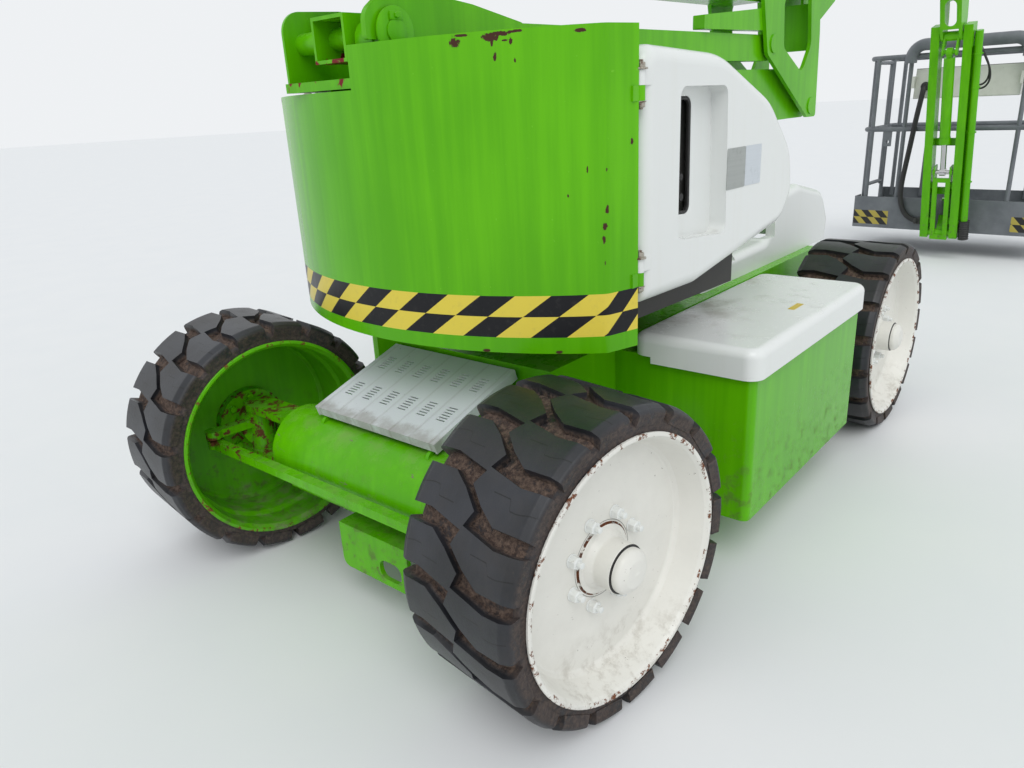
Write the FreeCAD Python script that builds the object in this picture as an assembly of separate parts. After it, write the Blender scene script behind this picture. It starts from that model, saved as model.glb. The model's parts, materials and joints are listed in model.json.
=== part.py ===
import FreeCAD, Part
import math
import os

os.makedirs("parts", exist_ok=True)

# Articulating boom lift of the narrow class, parked with its booms folded.
# Millimetres. Modelled about the middle of the wheelbase on the ground: +X to the
# basket, +Y left, +Z up. Turret and booms are drawn straight ahead, then turned by
# the small slew angle at which the machine is parked.

# Wheels and axles
WHEELBASE = 1853.0
TYRE_R = 344.0
TYRE_W = 315.0
LIP_R = 291.0
BARREL_R = 281.0
TRACK_OUT = 754.0
DISC_IN = 75.0
PILOT_R = 77.0
HUB_R = 54.0
CAP_R = 49.0
AXLE_R = 117.0
AXLE_HALF = 345.0
KINGPIN_Y = 575.0
STEER_REST = -6.7
STEER_LOCK = 30.0
FIT = 0.3

# Chassis
FRAME_HALF = 330.0
FRAME_REAR = -640.0
FRAME_FRONT = 1240.0
FRAME_LOW = 250.0
DECK_TOP = 600.0
PLATE = 10.0
NECK_HALF = 205.0
BOX_REAR = -340.0
BOX_FRONT = 485.0
BOX_OUT = 738.0
BOX_LOW = 158.0
BOX_TOP = 578.0
LID_H = 62.0
LID_LAP = 14.0
LID_IN = 390.0
COVER_EDGE_R = 30.0

# Turret
SLEW_REST = -2.6
RING_R = 260.0
RING_H = 42.0
TURN_GAP = 0.5
BASE_T = 30.0
TAIL_R = 894.0
TAIL_HALF = 600.0
TAIL_LOW = 705.0
TAIL_TOP = 1378.0
TAIL_T = 185.0
NOTCH_Y = -30.0
NOTCH_Z = 1285.0
CHEEK_OUT = 105.0
CHEEK_T = 15.0
SIDE_OUT = 600.0
SHELL_LOW = 793.0
SHELL_TOP = 1345.0
SHELL_REAR = -577.0
SHELL_FRONT = 205.0
SHELL_T = 8.0
SHELL_IN = 185.0
HINGE_X = -586.0
HINGE_Y = 596.0
HINGE_Z = (871.0, 1261.0)

# Booms: pivots in side view (x, z)
LINK_Z = 1400.0
P1 = (-430.0, 1160.0)
P2 = (-820.0, LINK_Z)
LOW_LEN = 1880.0
Q1 = (P1[0] + LOW_LEN, P1[1])
Q2 = (P2[0] + LOW_LEN, P2[1])
MID_LEN = 1815.0
R1 = (Q2[0] - 40.0, Q2[1] + 200.0)
R2 = (Q2[0] + 320.0, Q2[1] + 340.0)
S1 = (R1[0] - MID_LEN, R1[1])
S2 = (R2[0] - MID_LEN, R2[1])
T1 = (S1[0] + 75.0, S2[1] + 235.0)
ARM_IN = 102.0
ARM_PLATE = 15.0
PIN_R = 25.0
PIN_FIT = 0.05
LOW_ARM_HALF = 75.0
LINK_HALF = 55.0
LOW_LINK_RIGHT = -88.0
LOW_LINK_LEFT = -28.0
BOOM_H = 160.0
BOOM_HALF = 75.0
BOOM_FRONT = 2350.0
BOOM_WALL = 8.0
SLIDE_GAP = 5.0
NOSE_X = 3790.0
JIB_TOP = (3905.0, 1490.0)
JIB_LOW = (4214.0, 192.0)
JIB_SET = 14.0
JIB_ARM_IN = 70.0
JIB_ARM_W = 52.0
JIB_ARM_D = 90.0
NOSE_HALF = 62.0
POST_X = 4293.0
POST_R = 30.0
LUFF_MAX = 70.0
RISER_MAX = 65.0
JIB_MAX = 110.0
BASKET_TURN = 28.0
TELE_TRAVEL = 1300.0

# Basket
CAGE_REAR = 4340.0
CAGE_DEPTH = 650.0
CAGE_HALF = 662.0
CAGE_LOW = 175.0
TOE_TOP = 410.0
MID_RAIL = 900.0
TOP_RAIL = 1413.0
RAIL_R = 17.0
RAIL_IN = 4.0 + FIT + RAIL_R - 2.0
POST_Y = 364.0
LUG_PLACE = (475.0, 811.0)
LUG_HOLE_R = 14.0
LUG_HOLE = (CAGE_REAR + RAIL_IN, LUG_PLACE[0], LUG_PLACE[1], LUG_HOLE_R, 8.0)
GATE_IN = 110.0
GATE_LOW = 480.0
GATE_TOP = 1370.0

# Cylinders: foot and head pins in side view, bore and rod radius
LOW_CYL = {"foot": (-250.0, 790.0), "head": (560.0, 1020.0), "r": 50.0, "rod": 28.0, "pin": 22.0}
LUFF_CYL = {"foot": (S2[0] - 45.0, S2[1] + 98.0), "head": (S2[0] + 1075.0, S2[1] + 110.0), "r": 36.0, "rod": 22.0, "pin": 18.0}
JIB_CYL = {"foot": (3889.0, 1396.0), "head": (4098.0, 625.0), "r": 33.0, "rod": 18.0, "pin": 14.0}


def vec(x, y, z):
    return FreeCAD.Vector(x, y, z)


def box(x0, x1, y0, y1, z0, z1):
    return Part.makeBox(x1 - x0, y1 - y0, z1 - z0, vec(x0, y0, z0))


def rod_y(x, z, r, y0, y1):
    return Part.makeCylinder(r, y1 - y0, vec(x, y0, z), vec(0, 1, 0))


def rod_z(x, y, r, z0, z1):
    return Part.makeCylinder(r, z1 - z0, vec(x, y, z0), vec(0, 0, 1))


def rod_between(a, b, r):
    line = b.sub(a)
    return Part.makeCylinder(r, line.Length, a, line)


def join(shapes):
    first, rest = shapes[0], shapes[1:]
    return first.multiFuse(rest).removeSplitter() if rest else first


def mirror_y(shape):
    return shape.mirror(vec(0, 0, 0), vec(0, 1, 0))


def both_sides(shape):
    return [shape, mirror_y(shape)]


def rounded_wire(corners, place):
    """Closed wire through corners (u, v, radius); place turns (u, v) into a point."""
    points = [vec(u, v, 0) for u, v, _ in corners]
    count = len(points)
    trims = []
    for i, (_, _, radius) in enumerate(corners):
        here = points[i]
        back = points[i - 1].sub(here)
        ahead = points[(i + 1) % count].sub(here)
        back.normalize()
        ahead.normalize()
        if radius <= 0:
            trims.append((here, None, here))
            continue
        half = back.getAngle(ahead) / 2.0
        cut = radius / math.tan(half)
        middle = back.add(ahead)
        middle.normalize()
        top = here.add(middle.multiply(radius / math.sin(half) - radius))
        trims.append((here.add(vec(*back).multiply(cut)), top, here.add(vec(*ahead).multiply(cut))))
    edges = []
    for i, (start, top, end) in enumerate(trims):
        if top is not None:
            edges.append(Part.Arc(place(start), place(top), place(end)).toShape())
        after = trims[(i + 1) % count][0]
        if end.distanceToPoint(after) > 1e-6:
            edges.append(Part.LineSegment(place(end), place(after)).toShape())
    return Part.Wire(edges)


def side_plate(corners, y0, y1):
    """Outline (x, z, radius) extruded from y0 to y1."""
    wire = rounded_wire(corners, lambda p: vec(p.x, y0, p.y))
    return Part.Face(wire).extrude(vec(0, y1 - y0, 0))


def plan_plate(corners, z0, z1):
    """Outline (x, y, radius) extruded from z0 to z1."""
    wire = rounded_wire(corners, lambda p: vec(p.x, p.y, z0))
    return Part.Face(wire).extrude(vec(0, 0, z1 - z0))


def cross_plate(corners, x0, x1):
    """Outline (y, z, radius) extruded from x0 to x1."""
    wire = rounded_wire(corners, lambda p: vec(x0, p.x, p.y))
    return Part.Face(wire).extrude(vec(x1 - x0, 0, 0))


def spun(corners):
    """Outline (radius, along, corner radius) turned about the Y axis."""
    wire = rounded_wire(corners, lambda p: vec(p.x, p.y, 0))
    return Part.Face(wire).revolve(vec(0, 0, 0), vec(0, 1, 0), 360)


def tilted(shape, foot, head):
    """A shape drawn along +X from the origin, laid from foot to head in side view."""
    angle = math.degrees(math.atan2(head[1] - foot[1], head[0] - foot[0]))
    shape = shape.copy()
    shape.rotate(vec(0, 0, 0), vec(0, -1, 0), angle)
    shape.translate(vec(foot[0], 0, foot[1]))
    return shape


def span(foot, head):
    return math.hypot(head[0] - foot[0], head[1] - foot[1])


# Wheels

WHEEL_Y = TRACK_OUT - TYRE_W / 2


# One tread block of the outer row: degrees round the tyre, millimetres out from its middle line.
# The inner row is the same block turned half round about a spoke.
BLOCK = [(0.0, 175.0), (-1.0, 72.0), (3.0, 28.0), (8.5, -16.0), (15.5, 2.0), (13.0, 92.0), (14.3, 175.0)]
BLOCK_PITCH = 20.0
BLOCK_MIDDLE = 7.5
BLOCK_START = 15.3
ROW_SHIFT = 9.5
BLOCK_DEPTH = 22.0


def tread_blocks():
    """Prisms that cut the tread blocks of both rows out of the tyre's full outline."""
    blocks = []
    for row in (1, -1):
        corners = []
        for turn, out in BLOCK:
            along = TYRE_R * math.radians(turn - BLOCK_MIDDLE)
            corners.append(vec(TYRE_R - 40, row * out, row * along))
        prism = Part.Face(Part.makePolygon(corners + corners[:1])).extrude(vec(60, 0, 0))
        start = BLOCK_START + (BLOCK_MIDDLE if row > 0 else ROW_SHIFT - BLOCK_MIDDLE)
        for i in range(round(360 / BLOCK_PITCH)):
            block = prism.copy()
            block.rotate(vec(0, 0, 0), vec(0, -1, 0), start + i * BLOCK_PITCH)
            blocks.append(block)
    return blocks


def tyre():
    half = TYRE_W / 2
    seat = BARREL_R + FIT
    side = half - 8
    full = spun([
        (seat, -side, 5), (LIP_R + 6, -side, 4), (TYRE_R - 10, -half, 10),
        (TYRE_R, -half + 22, 14), (TYRE_R, half - 22, 14), (TYRE_R - 10, half, 10),
        (LIP_R + 6, side, 4), (seat, side, 5),
    ])
    floor = TYRE_R - BLOCK_DEPTH
    carcass = spun([
        (seat, -side, 5), (floor - 14, -side, 6), (floor, -half + 30, 10),
        (floor, half - 30, 10), (floor - 14, side, 6), (seat, side, 5),
    ])
    blocks = [full.common(b) for b in tread_blocks()]
    return carcass.multiFuse(blocks)


def rim():
    """Deep dished rim with its hub and cap; +Y is the outer side."""
    half = TYRE_W / 2
    face = half - DISC_IN
    barrel = spun([
        (LIP_R, half, 2), (LIP_R, half - 7, 2), (BARREL_R, half - 7, 3),
        (BARREL_R, -half + 7, 3), (LIP_R, -half + 7, 2), (LIP_R, -half, 2),
        (LIP_R - 9, -half, 3), (272, -half + 14, 6), (272, -70, 8), (262, -56, 8),
        (262, face - 22, 8), (252, face - 10, 4), (PILOT_R, face - 10, 0),
        (PILOT_R, face, 0), (250, face, 8), (258, face + 12, 8), (275, half - 10, 6),
        (LIP_R - 9, half, 3),
    ])
    hub = spun([
        (0, face - 10, 0), (PILOT_R, face - 10, 0), (PILOT_R, face + 4, 2), (HUB_R + 12, face + 6, 3),
        (HUB_R, face + 20, 8), (HUB_R, face + 62, 3), (CAP_R, face + 64, 0),
        (CAP_R, face + 78, 14), (CAP_R * 0.62, face + 90, 10), (0, face + 92, 0),
    ])
    return join([barrel, hub])


def wheel_part(shape, x, left):
    part = shape.copy()
    if not left:
        part.rotate(vec(0, 0, 0), vec(0, 0, 1), 180)
    part.translate(vec(x, WHEEL_Y if left else -WHEEL_Y, TYRE_R))
    return part


# Steering knuckles and axles

HUB_FACE = TRACK_OUT - DISC_IN - 10
YOKE_GAP = 62.0
YOKE_T = 22.0
ARM_LEN = 150.0
ARM_Z = 60.0


def knuckle_left():
    x = -WHEELBASE / 2
    z = TYRE_R
    post = rod_z(x, KINGPIN_Y, 38, z - YOKE_GAP + FIT, z + YOKE_GAP - FIT)
    pin = rod_z(x, KINGPIN_Y, PIN_R - PIN_FIT, z - YOKE_GAP - YOKE_T, z + YOKE_GAP + YOKE_T)
    carrier = rod_y(x, z, 60, KINGPIN_Y, HUB_FACE - 32)
    flange = rod_y(x, z, 104, HUB_FACE - 34, HUB_FACE - FIT)
    arm = box(x - ARM_LEN, x, KINGPIN_Y - 16, KINGPIN_Y + 16, z + 12, z + 36)
    eye = rod_z(x - ARM_LEN, KINGPIN_Y, 24, z + 12, z + 36)
    return join([post, pin, carrier, flange, arm, eye])


def track_rod():
    turn = math.radians(STEER_REST)
    x = -WHEELBASE / 2 - ARM_LEN * math.cos(turn)
    y = -ARM_LEN * math.sin(turn)
    z = TYRE_R - 4
    bar = box(x - 14, x + 14, y - KINGPIN_Y, y + KINGPIN_Y, z - 14, z + 10)
    ends = [rod_z(x, y + s * KINGPIN_Y, 22, z - 14, z + 10) for s in (1, -1)]
    studs = [rod_z(x, y + s * KINGPIN_Y, 10, z, TYRE_R + 12 - FIT) for s in (1, -1)]
    return join([bar] + ends + studs)


def tie_plate(x, ahead):
    """Hanging tie-down plate with a long hole; ahead is the side that faces away from the axle."""
    plate = cross_plate([(-177, 100, 24), (80, 100, 24), (80, 230, 0), (-177, 230, 0)], x - 6, x + 6)
    hole = cross_plate([(-150, 118, 24), (-70, 118, 24), (-70, 172, 24), (-150, 172, 24)], x - 20, x + 20)
    near = x - ahead * 6
    x0, x1 = sorted((near, near - ahead * 60))
    shelf = box(x0, x1, -177, 80, 218, 230)
    return join([plate.cut(hole), shelf])


def axle(x, ahead):
    """Axle beam: box core, square lower rail, half round cover with closed ends, tie-down plate."""
    z = TYRE_R
    rail = box(x - 48, x + 48, -AXLE_HALF - 40, AXLE_HALF + 40, z - 128, z - 72)
    core = box(x - 42, x + 42, -AXLE_HALF, AXLE_HALF, z - 74, z + 60)
    outer = rod_y(x, z, AXLE_R, -AXLE_HALF, AXLE_HALF)
    inner = rod_y(x, z, AXLE_R - 8, -AXLE_HALF + 10, AXLE_HALF - 10)
    below = box(x - 200, x + 200, -AXLE_HALF - 1, AXLE_HALF + 1, z - 200, z - 72)
    return [rail, core, outer.cut(inner).cut(below), tie_plate(x + ahead * 110, ahead)]


def rear_axle():
    x = -WHEELBASE / 2
    z = TYRE_R
    parts = axle(x, -1)
    bottom, top = z - YOKE_GAP - YOKE_T, z + YOKE_GAP + YOKE_T
    for side in (1, -1):
        y0, y1 = sorted((side * (AXLE_HALF - 20), side * KINGPIN_Y))
        for low, high in ((top - YOKE_T, top), (bottom, bottom + YOKE_T)):
            parts.append(box(x - 42, x + 42, y0, y1, low, high))
            parts.append(rod_z(x, side * KINGPIN_Y, 42, low, high))
        y0, y1 = sorted((side * (AXLE_HALF - 20), side * (AXLE_HALF + 95)))
        parts.append(box(x - 42, x - 30, y0, y1, bottom, z - 20))
        parts.append(box(x + 30, x + 42, y0, y1, bottom, top))
    bores = [rod_z(x, side * KINGPIN_Y, PIN_R, z - 120, z + 120) for side in (1, -1)]
    return join(parts).cut(bores[0]).cut(bores[1])


def front_axle():
    x = WHEELBASE / 2
    parts = axle(x, 1)
    for side in (1, -1):
        y0, y1 = sorted((side * (AXLE_HALF - 20), side * (HUB_FACE - 100)))
        parts.append(box(x - 55, x + 55, y0, y1, TYRE_R - 60, TYRE_R + 60))
        y0, y1 = sorted((side * (HUB_FACE - 104), side * (HUB_FACE - FIT)))
        parts.append(rod_y(x, TYRE_R, 104, y0, y1))
    return join(parts)


# Chassis


def chassis_frame():
    side = side_plate([
        (FRAME_REAR, FRAME_LOW + 60, 20), (FRAME_REAR + 80, FRAME_LOW, 30), (760, FRAME_LOW, 60),
        (900, 470, 60), (1160, 470, 40), (FRAME_FRONT, 520, 20), (FRAME_FRONT, DECK_TOP, 0),
        (FRAME_REAR, DECK_TOP, 0),
    ], FRAME_HALF - PLATE, FRAME_HALF)
    deck = box(FRAME_REAR, FRAME_FRONT, -FRAME_HALF, FRAME_HALF, DECK_TOP - 12, DECK_TOP)
    deck = deck.cut(rod_z(0, 0, RING_R - 60, DECK_TOP - 40, DECK_TOP + 40))
    floor = box(FRAME_REAR + 80, 760, -FRAME_HALF, FRAME_HALF, FRAME_LOW, FRAME_LOW + PLATE)
    ends = [
        box(FRAME_REAR, FRAME_REAR + PLATE, -FRAME_HALF, FRAME_HALF, FRAME_LOW + 60, DECK_TOP),
        box(FRAME_FRONT - PLATE, FRAME_FRONT, -FRAME_HALF, FRAME_HALF, 520, DECK_TOP),
    ]
    neck = both_sides(side_plate([
        (rear_x - 40, 420, 0), (FRAME_REAR + 20, 345, 0), (FRAME_REAR + 20, 560, 0), (rear_x + 20, 470, 20),
        (rear_x - 40, 470, 20),
    ], NECK_HALF - PLATE, NECK_HALF))
    neck += both_sides(side_plate([
        (front_x - 130, DECK_TOP - 12, 0), (front_x - 100, 400, 0), (front_x + 100, 400, 0),
        (front_x + 130, DECK_TOP - 12, 0),
    ], NECK_HALF - PLATE, NECK_HALF))
    ring_low = rod_z(0, 0, RING_R, DECK_TOP, DECK_TOP + RING_H).cut(
        rod_z(0, 0, RING_R - 60, DECK_TOP - 10, DECK_TOP + RING_H + 10))
    frame = join([side, mirror_y(side), deck, floor, ring_low] + ends + neck)
    for x in (rear_x, front_x):
        frame = frame.cut(rod_y(x, TYRE_R, AXLE_R + FIT, -AXLE_HALF, AXLE_HALF))
        frame = frame.cut(box(x - 48 - FIT, x + 48 + FIT, -AXLE_HALF, AXLE_HALF, 100, TYRE_R - 72 + FIT))
        frame = frame.cut(box(x - 118, x + 118, -AXLE_HALF, AXLE_HALF, 214, 234))
    return frame


def battery_boxes():
    walls = []
    for s in (1, -1):
        y0, y1 = sorted((s * (FRAME_HALF + FIT), s * BOX_OUT))
        outer = plan_plate([
            (BOX_REAR, y0, 0 if s > 0 else 22), (BOX_FRONT, y0, 0 if s > 0 else 22),
            (BOX_FRONT, y1, 22 if s > 0 else 0), (BOX_REAR, y1, 22 if s > 0 else 0),
        ], BOX_LOW, BOX_TOP)
        inner = plan_plate([
            (BOX_REAR + 5, y0 + 5, 0 if s > 0 else 17), (BOX_FRONT - 5, y0 + 5, 0 if s > 0 else 17),
            (BOX_FRONT - 5, y1 - 5, 17 if s > 0 else 0), (BOX_REAR + 5, y1 - 5, 17 if s > 0 else 0),
        ], BOX_LOW + 5, BOX_TOP + 5)
        pack = box(BOX_REAR + 60, BOX_FRONT - 60, y0 + 60, y1 - 60, BOX_LOW + 4, BOX_TOP - 90)
        s0, s1 = sorted((s * (FRAME_HALF + FIT), s * (LID_IN + 3)))
        strip = box(BOX_REAR, BOX_FRONT, s0, s1, BOX_TOP - 8, BOX_TOP)
        walls.append(join([outer.cut(inner), pack, strip]))
    return Part.makeCompound(walls)


def lid(side):
    y0, y1 = sorted((side * LID_IN, side * (BOX_OUT + LID_LAP)))
    x0, x1 = BOX_REAR - LID_LAP, BOX_FRONT + LID_LAP
    corner = 42
    outer = plan_plate([(x0, y0, corner), (x1, y0, corner), (x1, y1, corner), (x0, y1, corner)],
                       BOX_TOP - 18, BOX_TOP + LID_H)
    top = [e for e in outer.Edges if e.BoundBox.ZMin > BOX_TOP + LID_H - 1]
    outer = outer.makeFillet(24, top)
    inside = corner - 7
    inner = plan_plate([(x0 + 7, y0 + 7, inside), (x1 - 7, y0 + 7, inside), (x1 - 7, y1 - 7, inside),
                        (x0 + 7, y1 - 7, inside)], BOX_TOP - 30, BOX_TOP + LID_H - 8)
    e0, e1 = sorted((side * (LID_IN - 30), side * (LID_IN + 60)))
    open_back = box(x0 - 5, x1 + 5, e0, e1, BOX_TOP - 30, BOX_TOP + FIT)
    return outer.cut(inner).cut(open_back)


def front_cover():
    """White cover over the front axle, low where the counterweight swings past."""
    half = 292.0
    profile = [
        (260, DECK_TOP + FIT, 0), (FRAME_FRONT + 60, DECK_TOP + FIT, 0), (1448, DECK_TOP + FIT, 0),
        (1460, 692, 60), (1376, 815, 120), (1100, 872, 100), (905, 856, 60),
        (800, 692, 60), (430, 684, 20), (330, 640, 0), (260, 612, 0),
    ]
    body = side_plate(profile, -half, half)
    ridge = [e for e in body.Edges if e.BoundBox.ZMax > 660 and e.BoundBox.YLength < 1]
    body = body.makeFillet(COVER_EDGE_R, ridge)
    core = side_plate([
        (286, DECK_TOP - 20, 0), (1438, DECK_TOP - 20, 0), (1446, 692, 50), (1366, 803, 110),
        (1100, 860, 90), (912, 845, 50), (806, 680, 50), (434, 672, 20), (336, 630, 20), (286, 606, 0),
    ], -half + 42, half - 42)
    base_swing = rod_z(0, 0, 505, BASE_LOW - 5, 1000)
    web_swing = rod_z(0, 0, 590, BASE_TOP - 4, 1000)
    tail_swing = rod_z(0, 0, TAIL_R + 14, TAIL_LOW - 8, 1000)
    return body.cut(core).cut(base_swing).cut(web_swing).cut(tail_swing)


def rear_panel():
    """Sloping louvred sheet between the counterweight and the steering axle."""
    half = 224.0
    rear, front = (-962.0, 494.0), (-656.0, 589.0)
    length = span(rear, front)
    sheet = box(0, length, -half, half, 0, 3)
    folds = [box(0, length, s * half - 3, s * half + 3, -26, 3) for s in (1, -1)]
    lip = box(0, 3, -half, half, -22, 3)
    slots = []
    for row in (78, 206):
        for column in range(6):
            y = (column - 2.5) * 70
            slots += [box(row + 10 * i, row + 10 * i + 4, y - 15, y + 15, -2, 5) for i in range(6)]
    return tilted(join([sheet, lip] + folds).cut(Part.makeCompound(slots)), rear, front)


# Turret

BASE_LOW = DECK_TOP + RING_H + TURN_GAP
BASE_TOP = BASE_LOW + BASE_T


def turret_frame():
    base = plan_plate([(-430, -270, 110), (260, -270, 110), (260, 270, 110), (-430, 270, 110)], BASE_LOW, BASE_TOP)
    cheek = side_plate([
        (-690, TAIL_LOW, 0), (-575, TAIL_LOW, 0), (-470, BASE_TOP, 0), (240, BASE_TOP, 0), (150, 860, 60),
        (-230, 1180, 80), (-385, 1431, 20), (-565, 1466, 60), (-700, 1482, 60), (-820, 1494, 72),
        (-893, 1440, 40), (-893, TAIL_TOP + 6, 8), (-862, TAIL_TOP + 6, 0), (-862, 1222, 20), (-690, 1222, 0),
    ], CHEEK_OUT - CHEEK_T, CHEEK_OUT)
    right_cheek = mirror_y(cheek)
    cheek = cheek.cut(box(-1000, -715, CHEEK_OUT - 30, CHEEK_OUT + 10, NOTCH_Z + 4, 1700))
    web = box(-690, -678, -CHEEK_OUT, CHEEK_OUT, TAIL_LOW, 940)
    plate_y = 237.0
    left = side_plate([
        (-876, NOTCH_Z + 4, 0), (-640, NOTCH_Z + 4, 0), (-640, 1430, 60), (-680, 1481, 50), (-876, 1473, 52),
    ], plate_y, plate_y + 8)
    shelf = box(-884, -560, NOTCH_Y + 6, plate_y + 8, NOTCH_Z + 4, NOTCH_Z + 12)
    shelf_lip = box(-884, -876, NOTCH_Y + 6, plate_y + 8, NOTCH_Z + 4, NOTCH_Z + 26)
    arm = box(-640, -590, 80, plate_y + 8, TAIL_LOW, NOTCH_Z + 10)
    rear_bar = box(-698, -500, -300, 300, TAIL_LOW, 760)
    tube = rod_y(P2[0], P2[1], PIN_R + 1, -10, plate_y + 4)
    stirrup = box(-885, -795, -18, CHEEK_OUT, 1346, 1446).cut(box(-900, -780, -10, CHEEK_OUT - 8, 1354, 1438))
    spindle = rod_z(0, 0, RING_R - 66, DECK_TOP - 60, BASE_LOW)
    bosses = []
    for x, z, s in ((P1[0], P1[1], 1), (P1[0], P1[1], -1), (P2[0], P2[1], -1)):
        y0, y1 = sorted((s * CHEEK_OUT, s * (CHEEK_OUT + 6)))
        bosses.append(rod_y(x, z, 42, y0, y1))
    pins = [rod_y(P1[0], P1[1], PIN_R, -CHEEK_OUT, CHEEK_OUT), rod_y(P2[0], P2[1], PIN_R, -CHEEK_OUT, 0)]
    feet = cylinder_lugs(LOW_CYL["foot"], LOW_CYL, BASE_TOP, 46, 70)
    return join([base, cheek, right_cheek, web, left, shelf, shelf_lip, arm, rear_bar, tube, stirrup, spindle]
                + bosses + pins + feet)


def counterweight():
    """Curved tail weight: an arc about the slew axis with chamfered ends."""
    crease = 578.0
    end_x = -598.0
    crease_x = -math.sqrt(TAIL_R ** 2 - crease ** 2)
    a = vec(crease_x, crease, TAIL_LOW)
    b = vec(crease_x, -crease, TAIL_LOW)
    inner_r = TAIL_R - TAIL_T
    inner_x = -math.sqrt(inner_r ** 2 - 430.0 ** 2)
    edges = [
        Part.Arc(a, vec(-TAIL_R, 0, TAIL_LOW), b).toShape(),
        Part.LineSegment(b, vec(end_x, -TAIL_HALF, TAIL_LOW)).toShape(),
        Part.LineSegment(vec(end_x, -TAIL_HALF, TAIL_LOW), vec(inner_x, -430, TAIL_LOW)).toShape(),
        Part.Arc(vec(inner_x, -430, TAIL_LOW), vec(-inner_r, 0, TAIL_LOW), vec(inner_x, 430, TAIL_LOW)).toShape(),
        Part.LineSegment(vec(inner_x, 430, TAIL_LOW), vec(end_x, TAIL_HALF, TAIL_LOW)).toShape(),
        Part.LineSegment(vec(end_x, TAIL_HALF, TAIL_LOW), a).toShape(),
    ]
    body = Part.Face(Part.Wire(edges)).extrude(vec(0, 0, TAIL_TOP - TAIL_LOW))
    folds = [e for e in body.Edges if abs(e.BoundBox.XMax - crease_x) < 1 and e.BoundBox.XLength < 1
             and e.BoundBox.ZLength > 100]
    body = body.makeFillet(30, folds)
    notch = box(-1000, -500, NOTCH_Y, 700, NOTCH_Z, TAIL_TOP + 50)
    mid = box(-1000, -500, -CHEEK_OUT - 20, CHEEK_OUT + 20, NOTCH_Z - 70, TAIL_TOP + 50).cut(
        rod_z(0, 0, 2 * TAIL_R, 0, 3000).cut(rod_z(0, 0, TAIL_R - 22, 0, 3000)))
    lower = box(-698, -500, -330, 330, TAIL_LOW - 10, TAIL_TOP + 10)
    hinges = []
    for s in (1, -1):
        for z in HINGE_Z:
            hinges.append(rod_z(HINGE_X, s * HINGE_Y, 6, z - 30, z + 30))
            hinges.append(rod_z(HINGE_X, s * HINGE_Y, 10, z - 30, z))
            y0, y1 = sorted((s * (HINGE_Y - 12), s * (HINGE_Y + 4)))
            hinges.append(box(end_x - 20, HINGE_X, y0, y1, z - 30, z))
    return join([body.cut(notch).cut(mid).cut(lower)] + hinges)


def shell(side):
    """Moulded side canopy: flat flank, quarter round front, waisted lower edge."""
    outline = [
        (SHELL_REAR, SHELL_LOW, 20), (-330, SHELL_LOW, 60), (SHELL_FRONT - 60, 880, 90), (SHELL_FRONT, 960, 60),
        (SHELL_FRONT - 20, 1080, 150), (40, 1215, 220), (-230, 1325, 300), (SHELL_REAR, SHELL_TOP, 50),
    ]
    body = side_plate(outline, -SIDE_OUT, -SHELL_IN)
    outer_edges = [e for e in body.Edges if e.BoundBox.YMax < -SIDE_OUT + 1]
    body = body.makeFillet(34, outer_edges)
    inside = [
        (SHELL_REAR - 20, SHELL_LOW - 20, 0), (-330, SHELL_LOW - 20, 0), (SHELL_FRONT - 75, 870, 60),
        (SHELL_FRONT - SHELL_T, 962, 60), (SHELL_FRONT - 30, 1074, 140), (33, 1206, 200),
        (-234, 1316, 280), (SHELL_REAR - 20, SHELL_TOP - SHELL_T, 0),
    ]
    hollow = side_plate(inside, -SIDE_OUT + 30, -SHELL_IN + 10)
    skin = body.cut(hollow)
    for z in HINGE_Z:
        sleeve = rod_z(HINGE_X, -HINGE_Y, 10, z + FIT, z + 30)
        leaf = box(HINGE_X, SHELL_REAR + 30, -HINGE_Y - 4, -HINGE_Y + 8, z + FIT, z + 30)
        skin = join([skin, sleeve, leaf]).cut(rod_z(HINGE_X, -HINGE_Y, 6 + PIN_FIT, z, z + 31))
    if side > 0:
        return mirror_y(skin)
    recess = side_plate([(-432, 918, 24), (-200, 900, 24), (-216, 1254, 24), (-432, 1256, 24)],
                        -SIDE_OUT - 10, -SIDE_OUT + 45)
    tray = side_plate([(-440, 909, 30), (-192, 891, 30), (-207, 1263, 30), (-440, 1265, 30)],
                      -SIDE_OUT + 20, -SIDE_OUT + 53)
    slot = side_plate([(-412, 968, 22), (-306, 962, 22), (-310, 1234, 22), (-412, 1236, 22)],
                      -SIDE_OUT - 10, -SIDE_OUT + 80)
    return join([skin, tray]).cut(recess).cut(slot)


def engine():
    block = box(-480, 60, -490, -215, BASE_TOP + 40, 1120)
    feet = [box(x, x + 50, -295, -215, BASE_TOP, BASE_TOP + 45) for x in (-440, -30)]
    return join([block] + feet)


# Booms


def lug_pair(x, z, r, y_in, y_out):
    return [rod_y(x, z, r, y_in, y_out), rod_y(x, z, r, -y_out, -y_in)]


def cylinder_lugs(pin, c, root_z, gap, half_root, through=True):
    """Two lugs for a cylinder's eye, growing from root_z to the pin; a rod's eye brings its own pin."""
    x, z = pin
    r = c["pin"] + 14
    lugs = []
    for y in (gap - 12, -gap):
        web = side_plate([(x - half_root, root_z, 0), (x + half_root, root_z, 0), (x + r, z, 0), (x - r, z, 0)],
                         y, y + 12) if root_z < z else side_plate([
                             (x - r, z, 0), (x + r, z, 0), (x + half_root, root_z, 0), (x - half_root, root_z, 0)],
                             y, y + 12)
        lugs += [web, rod_y(x, z, r, y, y + 12)]
    if through:
        lugs.append(rod_y(x, z, c["pin"], -gap, gap))
    return lugs + lug_pair(x, z, c["pin"] + 4, gap - 1, gap + 6)


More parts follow.
